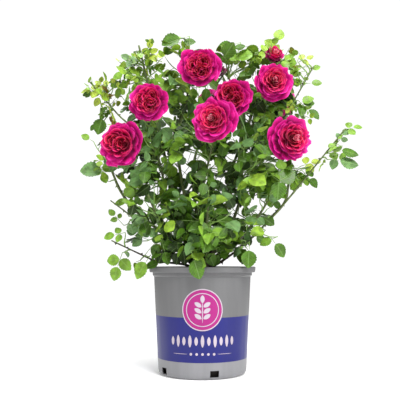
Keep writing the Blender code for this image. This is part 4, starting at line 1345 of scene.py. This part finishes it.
# The bloom that is still half closed, and the one that is going over
SPECIAL_RINGS = {
    HALF_OPEN: (
        Ring(5, 0.16, 0.98, -0.44, 0.06, 44, 0.04, OUTER),
        Ring(5, 0.14, 0.86, -0.40, 0.34, 46, 0.10, OUTER),
        Ring(5, 0.12, 0.66, -0.36, 0.46, 46, 0.14, MIDDLE),
        Ring(4, 0.10, 0.46, -0.32, 0.50, 54, 0.16, INNER),
        Ring(3, 0.06, 0.26, -0.28, 0.54, 66, 0.18, HEART),
    ),
    SPENT: (
        Ring(5, 0.16, 0.86, -0.40, -0.10, 44, 0.00, FADED),
        Ring(5, 0.14, 0.76, -0.34, 0.10, 44, 0.08, FADED),
        Ring(5, 0.10, 0.60, -0.26, 0.20, 44, 0.12, FADED),
        Ring(5, 0.06, 0.40, -0.18, 0.22, 44, 0.14, FADED),
    ),
}
# How many whorls the heart of a bloom has, where it is quartered
WHORLS = {
    "bloom_left": 2,
    "bloom_middle": 2,
    "bloom_upper_left": 3,
    "bloom_top": 3,
    "bloom_rear_left": 3,
    "bloom_rear_mid": 2,
}
PALE_EYED = ("bloom_front", "bloom_upper_right", "bloom_right", "bloom_rear_right")

# The faces across a petal and along it
PETAL_ACROSS = 12
PETAL_ALONG = 8
# How petals vary: in their length, the height and number of their ruffles, the depth of the
# notch in their edge, and how far they curl back, for outer petals and for others; and in
# their width and height
Kind = namedtuple("Kind", "edges ruffles waves notches curl")
GUARD_KIND = Kind((0.76, 1.12), (0.04, 0.09), (2, 3), (-0.06, 0.18), 0.22)
PLAIN_KIND = Kind((0.89, 1.04), (0.02, 0.05), (1, 1.5, 2), (-0.06, 0.06), 0.06)
PETAL_WIDTHS = (0.85, 1.18)
PETAL_HEIGHTS = (-0.06, 0.06)
# A petal's outline: the width of its notch, how far its corners fall back, the width of its
# claw, and how fast it flares out from there
NOTCH_WIDTH = 0.22
PETAL_CORNERS = 0.16
PETAL_CLAW = 0.45
PETAL_FLARE = 0.6
# Its rise: how fast it spreads and lifts, how much its cup lifts its sides, how much its waves
# push it out, and where and how fast it starts to curl back
PETAL_SPREAD = 0.8
PETAL_LIFT = 1.25
CUP_LIFT = 0.7
WAVE_OUT = 0.5
CURL_START = 0.72
CURL_BEND = 1.3
# How far petals, whorls and sepals stray from an even ring
RING_STRAY = 0.14
WHORL_STRAY = 0.12
SEPAL_STRAY = 0.1

# The hip under a bloom: how far below the bloom's back it starts, and its radii at even steps
HIP_DROP = 0.010
HIP_STEP = 0.0028
HIP_RADII = (0.0022, 0.0040, 0.0054, 0.0058, 0.0052, 0.0050, 0.0060)
HIP_SIDES = 10
# The sepals: how many, how far above the back they start, their slope, and their length, width
# and fold as shares of the bloom's radius
SEPALS = 5
SEPAL_FOOT = 0.004
SEPAL_SLOPES = (-0.45, 0.05)
SEPAL_SIZE = (0.62, 0.17, 0.3)
# The stalk: how far below the back it ends, how it tapers, and its points and sides
STALK_END = 0.006
STALK_TAPER = 0.85
STALK_POINTS = 10
BLOOM_STALK_SIDES = 8


# What a bloom's petals are built on: its radius, its depth, and the matrix to its place
Form = namedtuple("Form", "radius depth matrix")


def add_petal(piece, ring, turn, form, draw):
    """One petal: it rises from its foot, cups in at its sides and ruffles at its edge."""
    kind = GUARD_KIND if ring.finish == OUTER else PLAIN_KIND
    half_angle = math.radians(ring.half_angle) * draw.uniform(*PETAL_WIDTHS)
    edge = ring.edge * draw.uniform(*kind.edges)
    height = ring.edge_height + draw.uniform(*PETAL_HEIGHTS)
    phase = draw.uniform(0, math.tau)
    ruffle = draw.uniform(*kind.ruffles)
    waves = draw.choice(kind.waves)
    notch = draw.uniform(*kind.notches)
    points, places = [], []
    for j in range(PETAL_ALONG + 1):
        v = j / PETAL_ALONG
        for i in range(PETAL_ACROSS + 1):
            u = 2 * i / PETAL_ACROSS - 1
            cleft = notch * math.exp(-((u / NOTCH_WIDTH) ** 2))
            share = v * (1 - PETAL_CORNERS * abs(u) ** 3 - cleft)
            wave = ruffle * math.sin(waves * math.pi * u + phase) * v * v
            cup = ring.cup * u * u * v
            out = ring.foot + (edge - ring.foot) * share**PETAL_SPREAD
            out = out * (1 - cup) + wave * WAVE_OUT
            up = ring.foot_height + (height - ring.foot_height) * share**PETAL_LIFT
            up += cup * CUP_LIFT + wave - kind.curl * max(v - CURL_START, 0.0) ** CURL_BEND
            width = PETAL_CLAW + (1 - PETAL_CLAW) * v**PETAL_FLARE
            angle = turn + half_angle * u * width
            points.append(form.matrix @ polar(angle, out * form.radius, up * form.depth))
            places.append(((u + 1) / 2, share))
    row = PETAL_ACROSS + 1
    corners = [j * row + i for j in range(PETAL_ALONG) for i in range(PETAL_ACROSS)]
    faces = [(a, a + 1, a + row + 1, a + row) for a in corners]
    piece.add(points, faces, places, ring.finish)


def add_rings(piece, rings, form, draw):
    """Rings of petals about one axis, each turned at random against the last."""
    for ring in rings:
        start = draw.uniform(0, math.tau)
        for i in range(ring.petals):
            turn = start + math.tau * (i + draw.uniform(-RING_STRAY, RING_STRAY)) / ring.petals
            add_petal(piece, ring, turn, form, draw)


def add_calyx(piece, form, draw):
    """The green hip under a bloom, and its sepals."""
    back = form.depth * BLOOM_FOOT
    path = [Vector((0, 0, back - HIP_DROP + i * HIP_STEP)) for i in range(len(HIP_RADII))]
    points, faces, places = swept(path, HIP_RADII, HIP_SIDES)
    piece.add([form.matrix @ point for point in points], faces, places, CALYX)
    shape, faces, places = LEAFLET_SHAPES[0]
    base = Vector((0, 0, back + SEPAL_FOOT))
    for i in range(SEPALS):
        turn = math.tau * i / SEPALS + draw.uniform(-SEPAL_STRAY, SEPAL_STRAY)
        rows = frame_at(polar(turn, 1.0, draw.uniform(*SEPAL_SLOPES)), Vector((0, 0, -1)))
        sized = (shape * [form.radius * share for share in SEPAL_SIZE]) @ rows
        points = [form.matrix @ (base + Vector(point)) for point in sized]
        piece.add(points, faces, places, CALYX)


def add_heart(piece, name, form, draw):
    """The heart of an open bloom: even or quartered, with or without a pale eye."""
    whorls = WHORLS.get(name, 0)
    start = draw.uniform(0, math.tau)
    for i in range(whorls):
        turn = start + math.tau * (i + draw.uniform(-WHORL_STRAY, WHORL_STRAY)) / whorls
        offset = polar(turn, form.radius * WHORL_REACH * draw.uniform(*WHORL_REACHES))
        aside = form._replace(matrix=form.matrix @ Matrix.Translation(offset))
        add_rings(piece, WHORL_RINGS, aside, draw)
    if not whorls:
        add_rings(piece, CUP_RINGS, form, draw)
    eye = HEART if name in PALE_EYED else INNER
    add_rings(piece, [ring._replace(finish=eye) for ring in EYE_RINGS], form, draw)


def build_bloom(name, bloom, stem, draw):
    """A rose of many petals, on its calyx and its stalk."""
    faces = Vector(bloom.faces).normalized()
    depth = bloom.diameter * BLOOM_DEPTH_SHARE
    turned = faces.to_track_quat("Z", "Y").to_matrix().to_4x4()
    matrix = Matrix.Translation(bloom.centre) @ turned
    form = Form(bloom.diameter / 2, depth, matrix)
    loose = form._replace(radius=form.radius * LOOSE.get(name, 1.0))
    piece = Piece()
    add_rings(piece, SPECIAL_RINGS.get(name, GUARD_RINGS), loose, draw)
    if name not in SPECIAL_RINGS:
        add_heart(piece, name, loose, draw)
    add_calyx(piece, form, draw)
    path, radii = stem
    way = (path[-1] - path[-2]).normalized()
    end = bloom_back(bloom) - faces * STALK_END
    stalk = smooth_path(path[-1], way, end, faces, STALK_POINTS)
    girths = tapered(radii[-1], radii[-1] * STALK_TAPER, STALK_POINTS)
    piece.add(*swept(stalk, girths, BLOOM_STALK_SIDES), CALYX)
    piece.build(name.replace("bloom", "rose"), PETAL_MATERIALS, "petal", [name])


# --- Pot and compost ------------------------------------------------------------------------

POT_SEGMENTS = 128
BAND_FOOT = 0.034
BAND_TOP = 0.1215
# The radii of the rolled rim's edges: inside, outside, under its lip and under the collar; the
# middle of the arc under the lip lies in from the rim's face by its inset
INNER_LIP_ARC = 0.0025
RIM_ARC = 0.0022
UNDER_LIP_ARC = 0.0015
UNDER_LIP_INSET = 0.0025
COLLAR_ARC = 0.0012
# Where the middle of the collar's arc lies, in from its face and up from its foot, and the
# bevel between it and the wall
COLLAR_INSET = 0.0015
COLLAR_RISE = 0.0022
COLLAR_BEVEL = 0.0006
# How much wider the wall is inside its rim, how far that reaches down, and how far in from the
# outer wall a face still belongs to it
RIM_WIDENING = 0.001
RIM_DEPTH = 0.004
OUTER_SKIN = 0.001
SHARP_EDGE = math.radians(40)


def arc(centre, radius, start, end, steps):
    """Points of an arc in the radius and height plane, from one angle to another in degrees."""
    points = []
    for i in range(steps + 1):
        angle = math.radians(start + (end - start) * i / steps)
        points.append((centre[0] + radius * math.cos(angle), centre[1] + radius * math.sin(angle)))
    return points


def wall_radius(height):
    """The outer radius of the pot's wall at a height."""
    top = POT_HEIGHT - RIM_HEIGHT - COLLAR_HEIGHT
    share = (height - FOOT_HEIGHT) / (top - FOOT_HEIGHT)
    return WALL_FOOT_RADIUS + (WALL_TOP_RADIUS - WALL_FOOT_RADIUS) * share


def turned_object(name, profile):
    """A solid of revolution about Z from (radius, height) points, which run down the outside."""
    mesh = bpy.data.meshes.new(name)
    points = [(radius, 0.0, height) for radius, height in profile]
    mesh.from_pydata(points, [(i, i + 1) for i in range(len(points) - 1)], [])
    obj = linked(name, mesh)
    screw = obj.modifiers.new("Turn", "SCREW")
    screw.steps = POT_SEGMENTS
    screw.render_steps = POT_SEGMENTS
    screw.use_merge_vertices = True
    screw.merge_threshold = 0.00001
    return obj


def apply_modifiers(obj):
    """Replaces the object's mesh by its evaluated one."""
    bpy.context.view_layer.update()
    graph = bpy.context.evaluated_depsgraph_get()
    mesh = bpy.data.meshes.new_from_object(obj.evaluated_get(graph))
    obj.modifiers.clear()
    obj.data = mesh


def pot_profile():
    """The pot's profile: up its inside, over the rolled rim, and down its outside."""
    rim_foot = POT_HEIGHT - RIM_HEIGHT
    collar_foot = rim_foot - COLLAR_HEIGHT
    inner_top = WALL_TOP_RADIUS - WALL
    corner_centre = WALL_FOOT_RADIUS - CORNER_RADIUS - FOOT_DRAFT
    inside = [
        (0.0, WALL),
        (corner_centre, WALL),
        *arc((corner_centre, WALL + CORNER_RADIUS), CORNER_RADIUS - WALL, -80, 0, 5),
        (WALL_FOOT_RADIUS - WALL, FOOT_HEIGHT),
        (inner_top, collar_foot),
        (inner_top + RIM_WIDENING, POT_HEIGHT - RIM_DEPTH),
    ]
    collar = (WALL_TOP_RADIUS + COLLAR_OUT - COLLAR_INSET, collar_foot + COLLAR_RISE)
    under_lip = (RIM_RADIUS - UNDER_LIP_INSET, rim_foot + UNDER_LIP_ARC)
    rim = [
        *arc((WALL_TOP_RADIUS + RIM_LIP, POT_HEIGHT - INNER_LIP_ARC), INNER_LIP_ARC, 160, 90, 4),
        *arc((RIM_RADIUS - RIM_ARC, POT_HEIGHT - RIM_ARC), RIM_ARC, 90, 0, 6),
        *arc(under_lip, UNDER_LIP_ARC, 0, -90, 4),
        (WALL_TOP_RADIUS + COLLAR_OUT, rim_foot),
        *arc(collar, COLLAR_ARC, 0, -80, 4),
    ]
    wall = [(wall_radius(z), z) for z in (collar_foot - COLLAR_BEVEL, BAND_TOP, BAND_FOOT)]
    foot = [
        (WALL_FOOT_RADIUS, FOOT_HEIGHT),
        *arc((corner_centre, CORNER_RADIUS), CORNER_RADIUS, 0, -90, 8),
        (0.0, 0.0),
    ]
    return inside + rim + wall + foot


def build_pot():
    """The pot with its drain holes cut, its blue band, its foot paler in painted light, and its
    moulded plastic.
    """
    pot = turned_object("pot_shell", pot_profile())
    bm = bmesh.new()
    for i in range(DRAIN_HOLES):
        turn = DRAIN_HOLE_TURN + i * math.tau / DRAIN_HOLES
        middle = Vector((math.sin(turn), -math.cos(turn), 0.0)) * WALL_FOOT_RADIUS
        middle.z = (DRAIN_HOLE_FOOT + DRAIN_HOLE_TOP) / 2
        size = (DRAIN_HOLE_WIDTH, DRAIN_CUT_DEPTH, DRAIN_HOLE_TOP - DRAIN_HOLE_FOOT)
        turned = Matrix.Rotation(turn, 4, "Z") @ Matrix.Diagonal((*size, 1.0))
        bmesh.ops.create_cube(bm, size=1.0, matrix=Matrix.Translation(middle) @ turned)
    cutter = linked("drain_cutter", finished_mesh("drain_cutter", bm))
    cut = pot.modifiers.new("Drain", "BOOLEAN")
    cut.operation = "DIFFERENCE"
    cut.object = cutter
    apply_modifiers(pot)
    bpy.data.objects.remove(cutter)
    pot.data.materials.clear()
    for material in (POT_MATERIAL, BAND_MATERIAL, POT_FOOT_BOUNCE_MATERIAL):
        pot.data.materials.append(material)
    for face in pot.data.polygons:
        face.use_smooth = True
        height = face.center.z
        outer = math.hypot(face.center.x, face.center.y) > wall_radius(height) - OUTER_SKIN
        if outer and BAND_FOOT < height < BAND_TOP:
            face.material_index = 1
        # The foot below the band takes the paler plastic, which is painted light from the floor
        elif height < BAND_FOOT:
            face.material_index = 2
    pot.data.set_sharp_from_angle(angle=SHARP_EDGE)
    settle(pot, ["pot"])


# The prints: how far they lift off the wall, and a thin ring's hole as a share of its size
PRINT_LIFT = 0.0004
THIN_RING = 0.95
# The badge: its middle, its radius and its inner ring's share of that. The sprig on it: the
# half sizes of its stem and leaves, how the pairs spread and how far apart they are, and how
# far the lowest pair and the middle of the stem lie from the badge's middle
BADGE_HEIGHT = 0.137
BADGE_RADIUS = 0.041
INNER_SHARE = 0.80
SPRIG_STEM = (0.0009, 0.021)
SPRIG_LEAF = (0.008, 0.00425)
SPRIG_TOP_LEAF = (0.0075, 0.00425)
SPRIG_SPREAD = math.radians(58)
SPRIG_SPACING = (0.0088, 0.0115)
SPRIG_FOOT = -0.013
SPRIG_MIDDLE = -0.004
# The marks on the band, with half sizes: upright ones in a row, every other one shorter, and
# below them a row of dots between two lines
MARKS = 11
MARK_SPACING = 0.0125
MARK_SIZE = (0.012, 0.0035)
SHORT_MARK = 0.72
MARK_HEIGHT = 0.076
LINE_HEIGHT = 0.051
LINE_SIZE = (0.0155, 0.0005)
LINE_ASIDE = 0.046
DOTS = 5
DOT_RADIUS = 0.0026
DOT_SPACING = 0.0115


def ellipse(size, lean=0.0, steps=24, pinch=0.0):
    """The outline of an ellipse, leant over by an angle, and pinched to a point at its ends."""
    points = []
    for i in range(steps):
        turn = math.tau * i / steps
        x = size[0] * math.cos(turn)
        z = size[1] * math.sin(turn) * abs(math.sin(turn)) ** pinch
        leant_x = x * math.cos(lean) - z * math.sin(lean)
        points.append((leant_x, x * math.sin(lean) + z * math.cos(lean)))
    return points


def pointed_leaf(size, lean=math.pi / 2):
    """The outline of a pointed leaf, upright or leant over by an angle."""
    return ellipse(size, lean, pinch=0.5)


def add_print(piece, shape, x, z, rings=4, slot=2, hole=0.01):
    """A printed shape on the wall: an outline about its centre, filled in as far as its hole."""
    points, places = [], []
    for ring in range(rings + 1):
        share = 1.0 - (1.0 - hole) * ring / rings
        for across, up in shape:
            radius = wall_radius(z + up * share) + PRINT_LIFT * (1 + slot * 0.5)
            turn = (x + across * share) / radius
            points.append((radius * math.sin(turn), -radius * math.cos(turn), z + up * share))
            places.append((across * share, up * share))
    piece.add(points, ring_faces(rings + 1, len(shape)), places, slot)


def build_prints():
    """A plain round badge with a sprig of leaves, and plain marks on the band below it."""
    piece = Piece()
    badge = ellipse((BADGE_RADIUS, BADGE_RADIUS), steps=72)
    inner = ellipse((BADGE_RADIUS * INNER_SHARE, BADGE_RADIUS * INNER_SHARE), steps=72)
    add_print(piece, badge, 0.0, BADGE_HEIGHT, rings=10, slot=1, hole=0.001)
    for ring in (badge, inner):
        add_print(piece, ring, 0.0, BADGE_HEIGHT, rings=2, hole=THIN_RING)
    add_print(piece, ellipse(SPRIG_STEM, steps=48), 0.0, BADGE_HEIGHT + SPRIG_MIDDLE)
    aside, rise = SPRIG_SPACING
    for i in range(3):
        for side in (1, -1):
            leaf = pointed_leaf(SPRIG_LEAF, math.pi / 2 - side * SPRIG_SPREAD)
            add_print(piece, leaf, side * aside, BADGE_HEIGHT + SPRIG_FOOT + i * rise)
    add_print(piece, pointed_leaf(SPRIG_TOP_LEAF), 0.0, BADGE_HEIGHT + SPRIG_STEM[1])
    for i in range(MARKS):
        length = MARK_SIZE[0] * (1.0 if i % 2 else SHORT_MARK)
        mark = pointed_leaf((length, MARK_SIZE[1]))
        add_print(piece, mark, (i - (MARKS - 1) / 2) * MARK_SPACING, MARK_HEIGHT)
    for side in (1, -1):
        add_print(piece, ellipse(LINE_SIZE, steps=32), side * LINE_ASIDE, LINE_HEIGHT, rings=3)
    for i in range(DOTS):
        dot = ellipse((DOT_RADIUS, DOT_RADIUS))
        add_print(piece, dot, (i - (DOTS - 1) / 2) * DOT_SPACING, LINE_HEIGHT, rings=3)
    piece.build("pot_print", [POT_MATERIAL, BADGE_MATERIAL, MARK_MATERIAL], "pot_plastic")


# The compost's surface: its rings and segments, the relief of its crumbs and how fine they are
COMPOST_RINGS = 26
COMPOST_SEGMENTS = 96
CRUMB_RELIEF = 0.0022
CRUMBS_PER_METRE = 120
CRUMB_NOISE = (0.8, 2.0, 4)
# How far it stays inside the wall at its surface and below, and where its side narrows
COMPOST_GAP = 0.001
BALL_GAP = 0.0012
BALL_WAIST = 0.12
BALL_FOOT_INSET = 0.010
# The chips: how many, how far out they lie from the least to the most of the area, their size,
# and their length, thickness, unevenness and lift, each from the least to the most
CHIPS = 260
CHIP_REACH = 0.93
CHIP_AREA = (0.08, 1.0)
CHIP_SIZES = (0.002, 0.0062)
CHIP_LENGTHS = (1.0, 2.0)
CHIP_THICKNESSES = (0.35, 0.7)
CHIP_STRAYS = (0.75, 1.2)
CHIP_LIFTS = (0.0, 0.0015)
CHIP_TILT = 0.3


def build_compost(edge):
    """The compost: a crumbly top out to its edge, and the root ball under it."""
    piece = Piece()
    points = [(0.0, 0.0, COMPOST_TOP)]
    turns = [math.tau * k / COMPOST_SEGMENTS for k in range(COMPOST_SEGMENTS)]
    for ring in range(1, COMPOST_RINGS + 1):
        for turn in turns:
            spot = polar(turn, edge * ring / COMPOST_RINGS)
            height = COMPOST_TOP - COMPOST_DOME * (ring / COMPOST_RINGS) ** 2
            height += CRUMB_RELIEF * noise.fractal(spot * CRUMBS_PER_METRE, *CRUMB_NOISE)
            points.append((spot.x, spot.y, height))
    heights = (BALL_WAIST, FOOT_HEIGHT, WALL + COMPOST_GAP)
    for height in heights:
        radius = wall_radius(max(height, FOOT_HEIGHT)) - WALL - BALL_GAP
        radius -= BALL_FOOT_INSET if height < FOOT_HEIGHT else 0.0
        points += [polar(turn, radius, height) for turn in turns]
    rings = COMPOST_RINGS + len(heights)
    faces = [(0, 1 + k, 1 + (k + 1) % COMPOST_SEGMENTS) for k in range(COMPOST_SEGMENTS)]
    faces += [(a, d, c, b) for a, b, c, d in ring_faces(rings, COMPOST_SEGMENTS, first=1)]
    faces.append(tuple(len(points) - 1 - k for k in range(COMPOST_SEGMENTS)))
    piece.add(points, faces, [(point[0] * 10, point[1] * 10) for point in points])
    piece.build("compost_top", [COMPOST_MATERIAL], "compost", ["compost"])


def build_chips(edge, draw):
    """Chips of bark that lie on the compost."""
    bm = bmesh.new()
    bmesh.ops.create_icosphere(bm, subdivisions=1, radius=1.0)
    ball = [vert.co.copy() for vert in bm.verts]
    faces = [tuple(vert.index for vert in face.verts) for face in bm.faces]
    bm.free()
    chips = Piece()
    for _ in range(CHIPS):
        turn, area = draw.uniform(0, math.tau), draw.uniform(*CHIP_AREA)
        out = edge * CHIP_REACH * math.sqrt(area)
        lift = draw.uniform(*CHIP_LIFTS)
        spot = polar(turn, out, COMPOST_TOP - COMPOST_DOME * (out / edge) ** 2 + lift)
        size = draw.uniform(*CHIP_SIZES)
        length, thickness = draw.uniform(*CHIP_LENGTHS), draw.uniform(*CHIP_THICKNESSES)
        shape = (size * length, size, size * thickness)
        tilt = (draw.gauss(0, CHIP_TILT), draw.gauss(0, CHIP_TILT), 1)
        spin = Quaternion(tilt, draw.uniform(0, math.tau))
        corners = []
        for corner in ball:
            rough = [corner[i] * shape[i] * draw.uniform(*CHIP_STRAYS) for i in range(3)]
            corners.append(spot + spin @ Vector(rough))
        chips.add(corners, faces)
    chips.build("bark_chips", [CHIP_MATERIAL], "compost", sharp=math.radians(30))


# --- Studio ---------------------------------------------------------------------------------


def add_light(name, place, aim, size, power):
    """A square soft light at its place, aimed at a point."""
    lamp = bpy.data.lights.new(name, "AREA")
    lamp.shape = "SQUARE"
    lamp.size = size
    lamp.energy = power
    obj = linked(name, lamp)
    obj.location = place
    obj.rotation_euler = (Vector(aim) - Vector(place)).to_track_quat("-Z", "Y").to_euler()


# How strongly the white room lights the bush, and how bright the room itself is seen
ROOM_LIGHT = 0.42
ROOM_WHITE = 1.05
FLOOR_RADIUS = 1.6
FLOOR_SIDES = 96
# Where each light stands, the height on the pot's axis that it is aimed at, its size and power
LIGHTS = {
    "key": ((0.7, -1.6, 2.1), 0.42, 1.0, 74.0),
    "fill": ((-1.8, -1.4, 1.1), 0.40, 1.4, 10.0),
    "side": ((1.5, -1.1, 0.45), 0.15, 0.7, 7.0),
    "top": ((-0.2, 0.2, 2.3), 0.40, 1.2, 46.0),
}


def build_studio():
    """A pale floor in an even white room, soft lights, and the camera."""
    scene = bpy.context.scene
    scene.view_settings.view_transform = "Standard"
    scene.view_settings.look = "None"
    world = bpy.data.worlds.new("studio")
    scene.world = world
    world.use_nodes = True
    tree = world.node_tree
    rays = tree.nodes.new("ShaderNodeLightPath")
    strength = tree.nodes.new("ShaderNodeMapRange")
    strength.inputs["To Min"].default_value = ROOM_LIGHT
    strength.inputs["To Max"].default_value = ROOM_WHITE
    tree.links.new(rays.outputs["Is Camera Ray"], strength.inputs["Value"])
    background = tree.nodes["Background"]
    background.inputs["Color"].default_value = (1.0, 1.0, 1.0, 1.0)
    tree.links.new(strength.outputs[0], background.inputs["Strength"])

    bm = bmesh.new()
    bmesh.ops.create_circle(bm, cap_ends=True, segments=FLOOR_SIDES, radius=FLOOR_RADIUS)
    floor = linked("studio_floor", finished_mesh("studio_floor", bm))
    floor.data.materials.append(FLOOR_MATERIAL)

    for name, (place, aim, size, power) in LIGHTS.items():
        add_light(name, place, (0.0, 0.0, aim), size, power)

    lens = bpy.data.cameras.new("camera")
    lens.lens = CAMERA_LENS
    lens.sensor_width = CAMERA_SENSOR
    camera = linked("camera", lens)
    camera.location = CAMERA_PLACE
    camera.rotation_euler = (math.pi / 2 + CAMERA_PITCH, 0.0, 0.0)
    scene.camera = camera


# --- The whole ------------------------------------------------------------------------------

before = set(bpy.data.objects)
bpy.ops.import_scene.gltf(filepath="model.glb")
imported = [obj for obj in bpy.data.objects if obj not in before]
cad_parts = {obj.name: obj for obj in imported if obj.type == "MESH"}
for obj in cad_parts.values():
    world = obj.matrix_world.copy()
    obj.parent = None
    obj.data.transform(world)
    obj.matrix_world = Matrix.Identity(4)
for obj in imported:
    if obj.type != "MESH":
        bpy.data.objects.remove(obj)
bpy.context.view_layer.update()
draw = random.Random(SEED)
LEAFLET_SHAPES = leaflet_shapes(draw)
build_studio()
build_pot()
build_prints()
compost_edge = WALL_TOP_RADIUS - WALL - COMPOST_GAP
build_compost(compost_edge)
build_chips(compost_edge, draw)
build_crown()
cane_limbs, stem_limbs = limb_paths()
build_canes(cane_limbs, stem_limbs, draw)
grow_foliage(stem_limbs)
for bloom_name, bloom in BLOOMS.items():
    build_bloom(bloom_name, bloom, stem_limbs[bloom.mass], random.Random(bloom_name))
